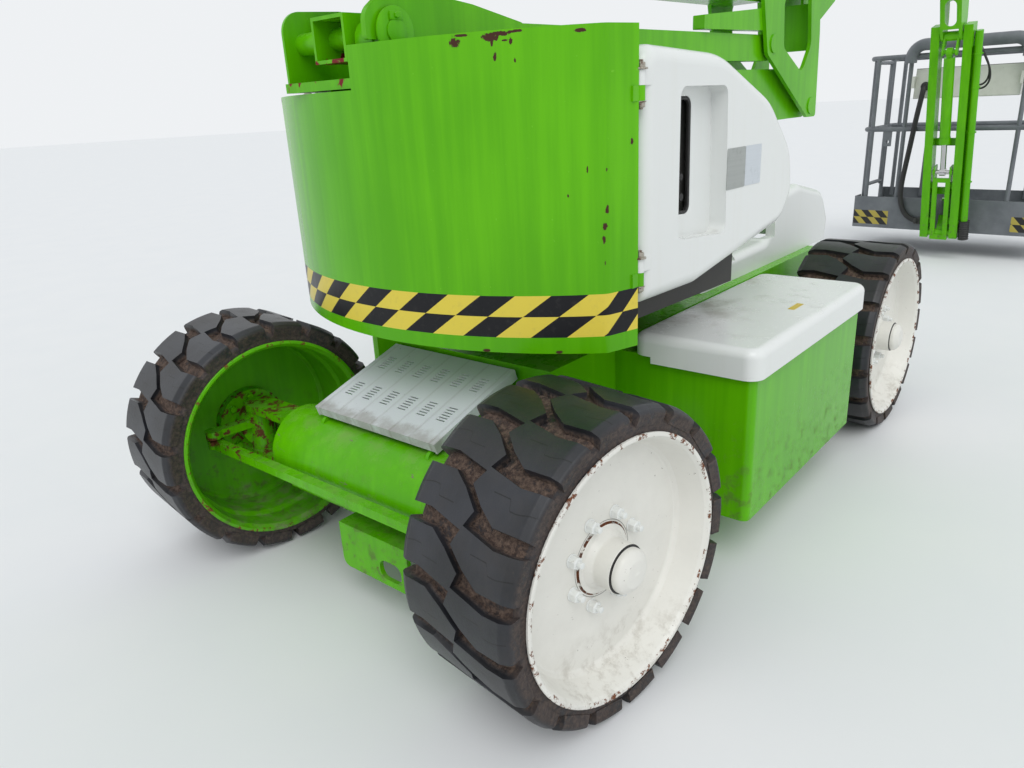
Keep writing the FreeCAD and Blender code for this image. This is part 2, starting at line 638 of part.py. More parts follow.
def low_arm():
    """Lower riser arm: deep box, pivoted at the turret and at the front knuckle."""
    body = side_plate([
        (P1[0] - 70, P1[1] - 60, 60), (Q1[0] - 140, Q1[1] - 46, 20), (Q1[0] + 48, Q1[1] - 46, 44),
        (Q1[0] + 48, Q1[1] + 60, 50), (Q1[0] - 120, Q1[1] + 150, 60), (P1[0] + 160, P1[1] + 150, 60),
        (P1[0] - 70, P1[1] + 60, 60),
    ], -LOW_ARM_HALF, LOW_ARM_HALF)
    for x, z in (P1, Q1):
        body = body.cut(rod_y(x, z, PIN_R + PIN_FIT, -200, 200))
    return join([body] + cylinder_lugs(LOW_CYL["head"], LOW_CYL, P1[1] - 40, 50, 90, False))


def low_link():
    body = side_plate([
        (P2[0] - 46, P2[1] - 60, 44), (Q2[0] + 44, Q2[1] - 60, 44), (Q2[0] + 44, Q2[1] + 32, 42),
        (P2[0] - 46, P2[1] + 32, 42),
    ], LOW_LINK_RIGHT, LOW_LINK_LEFT)
    for x, z in (P2, Q2):
        body = body.cut(rod_y(x, z, PIN_R + PIN_FIT, -200, 200))
    return body


def front_knuckle():
    """V shaped side plates with tall windows, level at every height."""
    plate = side_plate([
        (Q1[0] - 28, Q1[1] - 46, 16), (Q1[0] + 58, Q1[1] - 46, 16), (Q1[0] + 40, Q2[1] + 50, 60),
        (R2[0] + 60, R2[1] + 50, 50), (R2[0] - 40, R2[1] + 62, 40), (R1[0] - 10, R1[1] + 90, 60),
        (R1[0] - 80, R1[1] + 20, 50), (Q2[0] - 50, Q2[1] - 38, 30),
    ], ARM_IN, ARM_IN + ARM_PLATE)
    window = side_plate([
        (Q2[0] + 90, Q2[1] - 15, 30), (Q1[0] - 115, Q1[1] + 132, 40), (Q1[0] - 40, Q1[1] + 240, 60),
        (R2[0] - 10, R2[1] - 100, 40), (R1[0] + 110, R1[1] - 40, 40),
    ], ARM_IN - 10, ARM_IN + ARM_PLATE + 10)
    plate = plate.cut(window)
    pins = [rod_y(x, z, PIN_R, -ARM_IN, ARM_IN) for x, z in (Q1, Q2, R1, R2)]
    bosses = []
    for x, z in (Q1, Q2, R1, R2):
        bosses += lug_pair(x, z, 34, ARM_IN + ARM_PLATE - 1, ARM_IN + ARM_PLATE + 5)
    web = box(Q1[0] + 2, Q1[0] + 14, -ARM_IN, ARM_IN, Q1[1] + 220, R2[1] - 180)
    bracket = side_plate([
        (Q2[0] - 515, Q2[1] + 40, 4), (Q2[0], Q2[1] + 46, 4), (Q2[0], Q2[1] + 128, 4), (Q2[0] - 515, Q2[1] + 84, 4),
    ], -ARM_IN - 2, -60)
    rest_top = T1[1] - BOOM_H / 2 - 6
    rest = both_sides(side_plate([
        (Q1[0] + 2, Q2[1] + 30, 0), (Q1[0] + 50, Q2[1] + 32, 0), (R2[0] + 410, R2[1] - 150, 30),
        (R2[0] + 520, rest_top - 17, 20), (R2[0] + 180, rest_top - 9, 20), (Q1[0] + 2, R1[1], 0),
    ], 42, 54))
    pad = box(R2[0] + 200, R2[0] + 480, -60, 60, rest_top - 25, rest_top)
    return join([plate, mirror_y(plate), web, bracket, pad] + rest + pins + bosses)


def mid_arm():
    body = side_plate([
        (S1[0] - 52, S1[1] - 54, 50), (R1[0] + 46, R1[1] - 54, 44), (R1[0] + 46, R1[1] + 46, 44),
        (S1[0] - 52, S1[1] + 46, 46),
    ], -LOW_ARM_HALF, LOW_ARM_HALF)
    for x, z in (R1, S1):
        body = body.cut(rod_y(x, z, PIN_R + PIN_FIT, -200, 200))
    return body


def mid_link():
    body = side_plate([
        (S2[0] - 42, S2[1] - 40, 38), (R2[0] + 40, R2[1] - 40, 38), (R2[0] + 40, R2[1] + 40, 38),
        (S2[0] - 42, S2[1] + 40, 38),
    ], -LINK_HALF, LINK_HALF)
    for x, z in (R2, S2):
        body = body.cut(rod_y(x, z, PIN_R + PIN_FIT, -200, 200))
    return body


def rear_knuckle():
    plate = side_plate([
        (S1[0] + 70, S1[1] - 54, 40), (S2[0] + 60, S2[1] - 46, 44),
        (S2[0] + 52, T1[1] - 115, 50), (T1[0] + 120, T1[1] - 30, 80), (T1[0] + 66, T1[1] + 66, 60),
        (T1[0] - 66, T1[1] + 66, 60), (S1[0] - 56, S1[1] + 60, 60), (S1[0] - 56, S1[1] - 54, 40),
    ], ARM_IN, ARM_IN + ARM_PLATE)
    pins = [rod_y(x, z, PIN_R, -ARM_IN, ARM_IN) for x, z in (S1, S2, T1)]
    bosses = []
    for x, z in (S1, S2, T1):
        bosses += lug_pair(x, z, 40, ARM_IN + ARM_PLATE - 1, ARM_IN + ARM_PLATE + 5)
    fx, fz = LUFF_CYL["foot"]
    foot = rod_y(fx, fz, LUFF_CYL["pin"], -ARM_IN, ARM_IN)
    web = box(S1[0] + 5, S1[0] + 17, -ARM_IN, ARM_IN, S1[1] + 80, T1[1] - 115)
    return join([plate, mirror_y(plate), foot, web] + pins + bosses)


def boom_outer():
    x0, x1 = T1[0] - 60, BOOM_FRONT
    z0, z1 = T1[1] - BOOM_H / 2, T1[1] + BOOM_H / 2
    tube = cross_plate([(-BOOM_HALF, z0, 12), (BOOM_HALF, z0, 12), (BOOM_HALF, z1, 12), (-BOOM_HALF, z1, 12)],
                       x0, x1)
    bore = box(T1[0] + 150, x1 + 10, -BOOM_HALF + BOOM_WALL, BOOM_HALF - BOOM_WALL, z0 + BOOM_WALL, z1 - BOOM_WALL)
    tube = tube.cut(bore).cut(rod_y(T1[0], T1[1], PIN_R + PIN_FIT, -200, 200))
    collar = cross_plate([(-BOOM_HALF - 8, z0 - 8, 12), (BOOM_HALF + 8, z0 - 8, 12), (BOOM_HALF + 8, z1 + 8, 12),
                          (-BOOM_HALF - 8, z1 + 8, 12)], x1 - 60, x1)
    hole = box(x1 - 70, x1 + 10, -BOOM_HALF + BOOM_WALL, BOOM_HALF - BOOM_WALL, z0 + BOOM_WALL, z1 - BOOM_WALL)
    gap = SLIDE_GAP - FIT
    inner_y, inner_z = BOOM_HALF - BOOM_WALL, BOOM_H / 2 - BOOM_WALL
    pads = []
    for s in (1, -1):
        y0, y1 = sorted((s * inner_y, s * (inner_y - gap)))
        pads.append(box(x1 - 60, x1, y0, y1, T1[1] - 40, T1[1] + 40))
        low, high = sorted((T1[1] + s * inner_z, T1[1] + s * (inner_z - gap)))
        pads.append(box(x1 - 60, x1, -40, 40, low, high))
    return join([tube, collar.cut(hole)] + pads + cylinder_lugs(LUFF_CYL["head"], LUFF_CYL, z0 + 4, 46, 60, False))


def boom_inner():
    half = BOOM_HALF - BOOM_WALL - SLIDE_GAP
    high = BOOM_H / 2 - BOOM_WALL - SLIDE_GAP
    z0, z1 = T1[1] - high, T1[1] + high
    x0 = BOOM_FRONT - TELE_TRAVEL - 500
    tube = box(x0, NOSE_X, -half, half, z0, z1)
    tube = tube.cut(box(x0 - 10, NOSE_X - 80, -half + 6, half - 6, z0 + 6, z1 - 6))
    px, pz = JIB_TOP
    wall = [(NOSE_X - 90, z0, 0), (NOSE_X - 34, pz + 210, 60), (px - 63, pz + 22, 10)]
    ear = wall + [(px - 47, pz, 40), (px, pz - 47, 40), (px + 47, pz, 40), (px + 41, pz + 110, 40),
                  (px - 5, pz + 280, 80), (px - 43, z1 - 10, 60), (NOSE_X - 20, z1, 0), (NOSE_X - 90, z1, 0)]
    nose = side_plate(ear, -NOSE_HALF, NOSE_HALF)
    hollow = side_plate([
        (px - 105, pz + 270, 10), (px - 54, pz + 36, 0), (px - 90, pz + 36, 0), (px - 90, pz - 90, 0),
        (px + 85, pz - 90, 0), (px + 85, pz + 110, 0), (px - 5, pz + 270, 20),
    ], -NOSE_HALF + 16, NOSE_HALF - 16)
    slot = cross_plate([(-34, pz + 55, 33), (34, pz + 55, 33), (34, pz + 200, 33), (-34, pz + 200, 33)],
                       px - 205, px - 25)
    pin = rod_y(JIB_TOP[0], JIB_TOP[1], PIN_R - PIN_FIT, -JIB_ARM_IN - JIB_ARM_W, JIB_ARM_IN + JIB_ARM_W)
    return join([tube, nose.cut(hollow).cut(slot), pin])


def jib_yoke():
    """Levelled yoke on the fly boom's top pin; the fly boom's cylinder stands on it."""
    x, z = JIB_TOP
    fx, fz = JIB_CYL["foot"]
    hub = rod_y(x, z, 30, -45, 45)
    parts = [hub]
    for y in (34.5, -45):
        leg = tilted(box(0, span(JIB_TOP, JIB_CYL["foot"]), y, y + 10.5, -24, 24), JIB_TOP, JIB_CYL["foot"])
        parts += [leg, rod_y(fx, fz, 24, y, y + 10.5)]
    body = join(parts).cut(rod_y(x, z, PIN_R, -100, 100))
    return join([body, rod_y(fx, fz, JIB_CYL["pin"], -45, 45)])


def jib():
    """Fly boom: two channel arms tied together, and a slotted centre frame at the lower end."""
    length = span(JIB_TOP, JIB_LOW)
    d0, d1 = -JIB_ARM_D / 2 + JIB_SET, JIB_ARM_D / 2 + JIB_SET
    parts = []
    for s in (1, -1):
        y0, y1 = sorted((s * JIB_ARM_IN, s * (JIB_ARM_IN + JIB_ARM_W)))
        arm = box(-66, length + 32, y0, y1, d0, d1)
        open0, open1 = sorted((s * (JIB_ARM_IN + 8), s * (JIB_ARM_IN + JIB_ARM_W + 5)))
        arm = arm.cut(box(70, length - 70, open0, open1, d0 + 8, d1 - 8))
        parts.append(arm)
    for along in (length * 0.52, length * 0.78):
        parts.append(box(along - 25, along + 25, -JIB_ARM_IN - 4, JIB_ARM_IN + 4, d1 - 16, d1 - 4))
    top = span(JIB_TOP, JIB_CYL["head"]) - 40
    foot = length + 44
    frame = box(top, foot, -56, 56, d0, d0 + 16).cut(box(top - 1, top + 80, -46, 46, d0 - 1, d0 + 20))
    frame = frame.cut(box(top + 110, foot - 36, -26, 26, d0 - 1, d0 + 20))
    parts.append(frame)
    for y in (-56, 46):
        parts.append(box(top, foot, y, y + 10, d0, d0 + 62))
    for along in (top + 120, length - 110):
        for y in (-JIB_ARM_IN - 4, 50):
            parts.append(box(along, along + 40, y, y + 24, d0 + 20, d0 + 50))
    parts += lug_pair(*to_jib(JIB_CYL["head"]), JIB_CYL["pin"] + 6, 46, 62)
    body = join(parts)
    body = body.cut(rod_y(0, 0, PIN_R, -300, 300)).cut(rod_y(length, 0, PIN_R, -300, 300))
    return tilted(body, JIB_TOP, JIB_LOW)


def to_jib(point):
    """A side-view point in the fly boom's own (along, across) axes."""
    length = span(JIB_TOP, JIB_LOW)
    ux, uz = (JIB_LOW[0] - JIB_TOP[0]) / length, (JIB_LOW[1] - JIB_TOP[1]) / length
    dx, dz = point[0] - JIB_TOP[0], point[1] - JIB_TOP[1]
    return dx * ux + dz * uz, -dx * uz + dz * ux


def conduit():
    """Hose conduit on the right arm of the fly boom, with a gaiter at its foot."""
    y = -JIB_ARM_IN - JIB_ARM_W - 26
    length = span(JIB_TOP, JIB_LOW)
    across = JIB_SET
    pipe = rod_between(vec(-20, y, across), vec(length - 258, y, across), 24)
    bend = rod_between(vec(length - 264, y, across), vec(length - 90, y - 6, across - 14), 23.5)
    boot = rod_between(vec(length - 92, y - 8, across - 14), vec(length + 36, y - 10, across - 20), 31)
    clips = [box(a - 10, a + 10, y, -JIB_ARM_IN - JIB_ARM_W - FIT, across - 12, across + 12) for a in (120, 620)]
    return tilted(join([pipe, bend, boot] + clips), JIB_TOP, JIB_LOW)


# Basket

def basket_bracket():
    """Level carrier between the fly boom's lower pin and the basket's turning post."""
    x, z = JIB_LOW
    pin = rod_y(x, z, PIN_R - PIN_FIT, -JIB_ARM_IN - JIB_ARM_W, JIB_ARM_IN + JIB_ARM_W)
    neck = side_plate([(x - 8, z + 8, 0), (x + 21, z + 10, 0), (x + 55, z + 46, 0), (POST_X, z + 46, 0),
                       (POST_X, z + 112, 0), (x + 36, z + 112, 0), (x - 10, z + 40, 20)], -20, 20)
    post = rod_z(POST_X, 0, POST_R, z + 24, 424)
    collar = rod_z(POST_X, 0, POST_R + 8, z + 30, 306)
    return join([pin, neck, post, collar])


def basket_floor():
    x0, x1 = CAGE_REAR, CAGE_REAR + CAGE_DEPTH
    return box(x0, x1, -CAGE_HALF, CAGE_HALF, CAGE_LOW, CAGE_LOW + 6)


def toe_plates():
    x0, x1 = CAGE_REAR, CAGE_REAR + CAGE_DEPTH
    walls = box(x0, x1, -CAGE_HALF, CAGE_HALF, CAGE_LOW + 6, TOE_TOP).cut(
        box(x0 + 4, x1 - 4, -CAGE_HALF + 4, CAGE_HALF - 4, CAGE_LOW - 1, TOE_TOP + 1))
    walls = walls.cut(box(x0 - 5, x1 + 5, CAGE_HALF - 20, CAGE_HALF + 20, CAGE_LOW + 6 + 34, TOE_TOP + 1).cut(
        box(x0 - 6, x0 + 120, CAGE_HALF - 21, CAGE_HALF + 21, 0, 999)).cut(
        box(x1 - 120, x1 + 6, CAGE_HALF - 21, CAGE_HALF + 21, 0, 999)))
    post_tube = rod_z(POST_X, 0, POST_R + 8, 309, 409).cut(rod_z(POST_X, 0, POST_R + PIN_FIT, 0, 999))
    arms = box(POST_X, x0 + 1, -34, 34, 314, 404).cut(rod_z(POST_X, 0, POST_R + 4, 0, 999))
    return join([walls, post_tube, arms])


def tube_along(points, r, bend):
    """Round bar along a bent line of straights and arcs."""
    edges = []
    start = vec(*points[0])
    for i in range(1, len(points)):
        here = vec(*points[i])
        if i == len(points) - 1:
            edges.append(Part.LineSegment(start, here).toShape())
            break
        ahead = vec(*points[i + 1]).sub(here)
        back = start.sub(here)
        ahead.normalize()
        back.normalize()
        half = back.getAngle(ahead) / 2.0
        cut = bend / math.tan(half)
        a, b = here.add(vec(*back).multiply(cut)), here.add(vec(*ahead).multiply(cut))
        middle = back.add(ahead)
        middle.normalize()
        top = here.add(middle.multiply(bend / math.sin(half) - bend))
        edges.append(Part.LineSegment(start, a).toShape())
        edges.append(Part.Arc(a, top, b).toShape())
        start = b
    path = Part.Wire(edges)
    along = vec(*points[1]).sub(vec(*points[0]))
    ring = Part.Wire(Part.makeCircle(r, vec(*points[0]), along))
    return path.makePipeShell([ring], True, False)


def basket_rails():
    x0, x1 = CAGE_REAR + RAIL_IN, CAGE_REAR + CAGE_DEPTH - RAIL_IN
    y = CAGE_HALF - RAIL_IN
    parts = []
    gate0, gate1 = x0 + GATE_IN, x1 - GATE_IN
    for z in (MID_RAIL, TOP_RAIL - RAIL_R):
        line = [(gate0, y, z), (x0, y, z), (x0, -y, z), (x1, -y, z), (x1, y, z), (gate1, y, z)]
        parts.append(tube_along(line, RAIL_R, 55))
    low = TOE_TOP - 60
    ends = TOP_RAIL - RAIL_R
    posts = [(x0, y - 54, ends), (x0, POST_Y, ends), (x0, -POST_Y, ends), (x0, -y + 54, ends),
             (x1, y - 54, ends), (x1, POST_Y, ends), (x1, -POST_Y, ends), (x1, -y + 54, ends),
             (gate0, y, ends + RAIL_R), (gate1, y, ends + RAIL_R)]
    for px, py, top in posts:
        parts.append(rod_between(vec(px, py, low), vec(px, py, top), RAIL_R - 2))
    gx = gate1 - 40
    for z in (GATE_LOW - 25, GATE_TOP + 19):
        lug = box(gx - 14, gate1, y - 8, y + 8, z, z + 6)
        pin = rod_z(gx, y, 6, z, z + 30) if z < 1000 else rod_z(gx, y, 6, z - 24, z + 6)
        parts += [lug, pin]
    lug_y, lug_z = LUG_PLACE
    lug = box(x0 - 4, x0 + 4, lug_y - 30, lug_y + 30, lug_z - 32, MID_RAIL)
    parts.append(lug.cut(rod_between(vec(x0 - 9, lug_y, lug_z), vec(x0 + 9, lug_y, lug_z), LUG_HOLE_R)))
    guard = 40.0
    gz = 1468.0
    loop = [(x0 - 24, POST_Y, 1350), (x0 - 24, POST_Y, gz), (x0 - 24, -POST_Y, gz), (x0 - 24, -POST_Y, 1350)]
    parts.append(tube_along(loop, guard, 90))
    return join(parts)


def rail_side(side):
    """The welded rails are one piece; each side of the basket is kept as a node of its own."""
    x0, x1 = CAGE_REAR + RAIL_IN + 90, CAGE_REAR + CAGE_DEPTH - RAIL_IN - 90
    far = 2000
    regions = {
        "rear": box(x0 - far, x0, -far, far, 0, far), "front": box(x1, x1 + far, -far, far, 0, far),
        "right": box(x0, x1, -far, 0, 0, far), "left": box(x0, x1, 0, far, 0, far),
    }
    return RAILS.common(regions[side])


def console():
    x0 = CAGE_REAR + 2 * RAIL_R + 4
    ears = []
    for s in (1, -1):
        y0, y1 = sorted((s * 330, s * (POST_Y - RAIL_R + 2 - FIT)))
        ears.append(box(CAGE_REAR + RAIL_IN - 8, x0 + 30, y0, y1, 1180, 1260))
    box_side = side_plate([(x0, 1105, 8), (x0 + 190, 1140, 8), (x0 + 150, 1300, 8), (x0 + 20, 1312, 8)], -335, 335)
    return join([box_side] + ears)


def gate():
    x0, x1 = CAGE_REAR + RAIL_IN + GATE_IN + 40, CAGE_REAR + CAGE_DEPTH - RAIL_IN - GATE_IN - 40
    y = CAGE_HALF - RAIL_IN
    uprights = [rod_z(x, y, RAIL_R - 2, GATE_LOW - 17, GATE_TOP + 17) for x in (x0, x1)]
    bars = [rod_between(vec(x0, y, z), vec(x1, y, z), r) for z, r in
            ((GATE_LOW, RAIL_R - 3), (MID_RAIL, RAIL_R - 4), (GATE_TOP, RAIL_R - 3))]
    sockets = [rod_z(x1, y, 6 + PIN_FIT, GATE_LOW - 30, GATE_LOW + 10),
               rod_z(x1, y, 6 + PIN_FIT, GATE_TOP - 10, GATE_TOP + 30)]
    return join(uprights + bars).cut(sockets[0]).cut(sockets[1])


# Cylinders


def barrel(c):
    length = span(c["foot"], c["head"])
    r = c["r"]
    pin = c["pin"]
    eye = rod_y(0, 0, pin + 12, -r * 0.55, r * 0.55)
    neck = box(0, pin + 24, -r * 0.45, r * 0.45, -pin - 6, pin + 6)
    start = pin + 20
    end = length * 0.74
    tube = rod_between(vec(start, 0, 0), vec(end, 0, 0), r)
    gland = rod_between(vec(end - 36, 0, 0), vec(end + 6, 0, 0), r + 3)
    bore = rod_between(vec(start + 20, 0, 0), vec(length, 0, 0), c["rod"] + 0.1)
    body = join([eye, neck, tube, gland]).cut(bore)
    return tilted(body.cut(rod_y(0, 0, pin + PIN_FIT, -200, 200)), c["foot"], c["head"])


def ram(c, stub):
    """Rod with its eye and pin; the linkage is open at this pin."""
    length = span(c["foot"], c["head"])
    shaft = rod_between(vec(c["pin"] + 44, 0, 0), vec(length - c["pin"] - 4, 0, 0), c["rod"])
    eye = rod_y(length, 0, c["pin"] + 12, -c["r"] * 0.55, c["r"] * 0.55)
    pin = rod_y(length, 0, c["pin"], -stub, stub)
    return tilted(join([shaft, eye, pin]), c["foot"], c["head"])


# Placement of the parked pose


def slewed(shape):
    shape = shape.copy()
    shape.rotate(vec(0, 0, 0), vec(0, 0, 1), SLEW_REST)
    return shape


def steered(side):
    def turn(shape):
        shape = shape.copy()
        shape.rotate(vec(-WHEELBASE / 2, side * KINGPIN_Y, 0), vec(0, 0, 1), STEER_REST)
        return shape
    return turn


def still(shape):
    return shape


rear_x = -WHEELBASE / 2
front_x = WHEELBASE / 2
turn_right, turn_left = steered(-1), steered(1)

TYRE_SOLID = tyre()
RIM_SOLID = rim()
RAILS = basket_rails()

NODES = [
    ("chassis_frame", chassis_frame, still),
    ("rear_axle", rear_axle, still),
    ("front_axle", front_axle, still),
    ("battery_boxes", battery_boxes, still),
    ("front_cover", front_cover, still),
    ("rear_panel", rear_panel, still),
    ("lid_right", lambda: lid(-1), still),
    ("lid_left", lambda: lid(1), still),
    ("knuckle_rear_left", knuckle_left, turn_left),
    ("knuckle_rear_right", lambda: mirror_y(knuckle_left()), turn_right),
    ("track_rod", track_rod, still),
    ("tyre_rear_left", lambda: wheel_part(TYRE_SOLID, rear_x, True), turn_left),
    ("rim_rear_left", lambda: wheel_part(RIM_SOLID, rear_x, True), turn_left),
    ("tyre_rear_right", lambda: wheel_part(TYRE_SOLID, rear_x, False), turn_right),
    ("rim_rear_right", lambda: wheel_part(RIM_SOLID, rear_x, False), turn_right),
    ("tyre_front_left", lambda: wheel_part(TYRE_SOLID, front_x, True), still),
    ("rim_front_left", lambda: wheel_part(RIM_SOLID, front_x, True), still),
    ("tyre_front_right", lambda: wheel_part(TYRE_SOLID, front_x, False), still),
    ("rim_front_right", lambda: wheel_part(RIM_SOLID, front_x, False), still),
    ("turret_frame", turret_frame, slewed),
    ("counterweight", counterweight, slewed),
    ("canopy_right", lambda: shell(-1), slewed),
    ("canopy_left", lambda: shell(1), slewed),
    ("engine", engine, slewed),
    ("low_arm", low_arm, slewed),
    ("low_link", low_link, slewed),
    ("front_knuckle", front_knuckle, slewed),
    ("mid_arm", mid_arm, slewed),
    ("mid_link", mid_link, slewed),
    ("rear_knuckle", rear_knuckle, slewed),
    ("boom_outer", boom_outer, slewed),
    ("boom_inner", boom_inner, slewed),
    ("jib_yoke", jib_yoke, slewed),
    ("jib", jib, slewed),
    ("jib_conduit", conduit, slewed),
    ("basket_bracket", basket_bracket, slewed),
    ("basket_floor", basket_floor, slewed),
    ("toe_plates", toe_plates, slewed),
    ("rails_rear", lambda: rail_side("rear"), slewed),
    ("rails_front", lambda: rail_side("front"), slewed),
    ("rails_right", lambda: rail_side("right"), slewed),
    ("rails_left", lambda: rail_side("left"), slewed),
    ("basket_gate", gate, slewed),
    ("console", console, slewed),
    ("low_cylinder_barrel", lambda: barrel(LOW_CYL), slewed),
    ("low_cylinder_rod", lambda: ram(LOW_CYL, 35), slewed),
    ("luff_cylinder_barrel", lambda: barrel(LUFF_CYL), slewed),
    ("luff_cylinder_rod", lambda: ram(LUFF_CYL, 31), slewed),
    ("jib_cylinder_barrel", lambda: barrel(JIB_CYL), slewed),
    ("jib_cylinder_rod", lambda: ram(JIB_CYL, 43), slewed),
]


def middle(shapes):
    """Move that brings the centre of the parked machine's box over the origin."""
    whole = FreeCAD.BoundBox()
    for shape in shapes:
        whole.add(shape.optimalBoundingBox(False))
    return vec(-whole.Center.x, -whole.Center.y, 0)


def build():
    made = [(name, pose(make())) for name, make, pose in NODES]
    shift = middle([shape for _, shape in made])
    print("shift", shift.x, shift.y)
    for name, shape in made:
        shape.translate(shift)
        print(name, "solids", len(shape.Solids), "volume", round(shape.Volume / 1e6, 2), "l",
              "valid", shape.isValid())
        shape.exportStep("parts/" + name + ".step")
    return shift


SHIFT = build()
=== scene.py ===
# %% [markdown]
# # An articulating boom lift, dressed in Blender
#
# The CAD model already has every plate, tube, axle, tread block and cylinder at its true size.
# This script loads it as a fixed frame, gives each part the finish that the real machine shows,
# and adds the small things that a CAD drawing leaves out, such as wheel nuts, hoses and soil.

import json
import math

import bmesh
import bpy
from mathutils import Matrix, Vector


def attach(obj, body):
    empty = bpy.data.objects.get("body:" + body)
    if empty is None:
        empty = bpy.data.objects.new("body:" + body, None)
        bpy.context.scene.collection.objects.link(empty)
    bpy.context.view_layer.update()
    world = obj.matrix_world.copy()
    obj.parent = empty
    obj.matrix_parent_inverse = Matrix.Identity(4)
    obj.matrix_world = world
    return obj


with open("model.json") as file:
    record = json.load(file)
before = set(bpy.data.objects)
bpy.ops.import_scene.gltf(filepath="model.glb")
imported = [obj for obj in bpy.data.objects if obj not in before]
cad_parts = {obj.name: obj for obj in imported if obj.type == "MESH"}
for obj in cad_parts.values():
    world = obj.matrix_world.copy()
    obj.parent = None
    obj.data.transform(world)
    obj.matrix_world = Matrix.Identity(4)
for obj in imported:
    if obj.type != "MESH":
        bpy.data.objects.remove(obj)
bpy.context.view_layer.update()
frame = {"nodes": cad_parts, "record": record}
nodes = frame["nodes"]
bpy.context.scene.view_settings.view_transform = "Standard"

# %% [markdown]
# ## Where things are
#
# The chassis stands square to the axes. The turret turns about a vertical axis through the middle
# of the slew ring and is parked a little turned to the right, and the rear wheels are steered a
# little. Small pieces are placed in the chassis's, the turret's or a wheel's own directions, and
# one matrix each carries them into the scene.

# %% Places used more than once
MIDDLE = Vector((-1.8643, 0.0490, 0.0))
SLEW_ANGLE = math.radians(-2.6)
STEER_ANGLE = math.radians(-6.7)
AXLE_X = 0.9265
KINGPIN_Y = 0.575
WHEEL_Y = 0.5965
AXLE_Z = 0.344

CHASSIS = Matrix.Translation(MIDDLE)
TURRET = Matrix.Translation(MIDDLE) @ Matrix.Rotation(SLEW_ANGLE, 4, "Z")


def wheel_frame(front, left):
    """Matrix of a wheel's own directions: origin on its middle, +Y towards its outer side."""
    side = 1 if left else -1
    turn = Matrix.Identity(4) if left else Matrix.Rotation(math.pi, 4, "Z")
    if front:
        return CHASSIS @ Matrix.Translation((AXLE_X, side * WHEEL_Y, AXLE_Z)) @ turn
    pin = Matrix.Translation((-AXLE_X, side * KINGPIN_Y, AXLE_Z)) @ Matrix.Rotation(STEER_ANGLE, 4, "Z")
    return CHASSIS @ pin @ Matrix.Translation((0, side * (WHEEL_Y - KINGPIN_Y), 0)) @ turn


WHEELS = {
    "front_left": wheel_frame(True, True), "front_right": wheel_frame(True, False),
    "rear_left": wheel_frame(False, True), "rear_right": wheel_frame(False, False),
}
print("wheels at", {k: tuple(round(c, 3) for c in m.translation) for k, m in WHEELS.items()})

# %% [markdown]
# ## The camera
#
# The photograph was taken from about eye height, close to one rear corner of the machine, with a
# wide lens that was held slightly askew. The camera is turned by yaw, pitch and roll in that
# order, which keeps each number something that could be read off a tripod head.

# %% Camera
YAW, PITCH, ROLL = (math.radians(a) for a in (40.707, -20.068, -3.10))
camera_data = bpy.data.cameras.new("viewpoint")
camera_data.sensor_width = 36.0
camera_data.lens = 27.243
camera_data.clip_end = 200.0
camera = bpy.data.objects.new("viewpoint", camera_data)
bpy.context.scene.collection.objects.link(camera)
camera.matrix_world = (
    Matrix.Translation((-3.9623, -1.4055, 1.2451))
    @ Matrix.Rotation(YAW - math.pi / 2, 4, "Z")
    @ Matrix.Rotation(math.pi / 2 + PITCH, 4, "X")
    @ Matrix.Rotation(ROLL, 4, "Z")
)
bpy.context.scene.camera = camera
ahead = camera.matrix_world.to_3x3() @ Vector((0, 0, -1))
print("camera looks along", tuple(round(c, 3) for c in ahead))

# %% [markdown]
# ## Shader arithmetic
#
# A finish is a sum of small effects: dust that settles on top faces, streaks, chips and rust.
# Written as arithmetic they stay readable, so a small class wraps a node socket and turns each
# sign into a Math node. Every other node comes from one method.

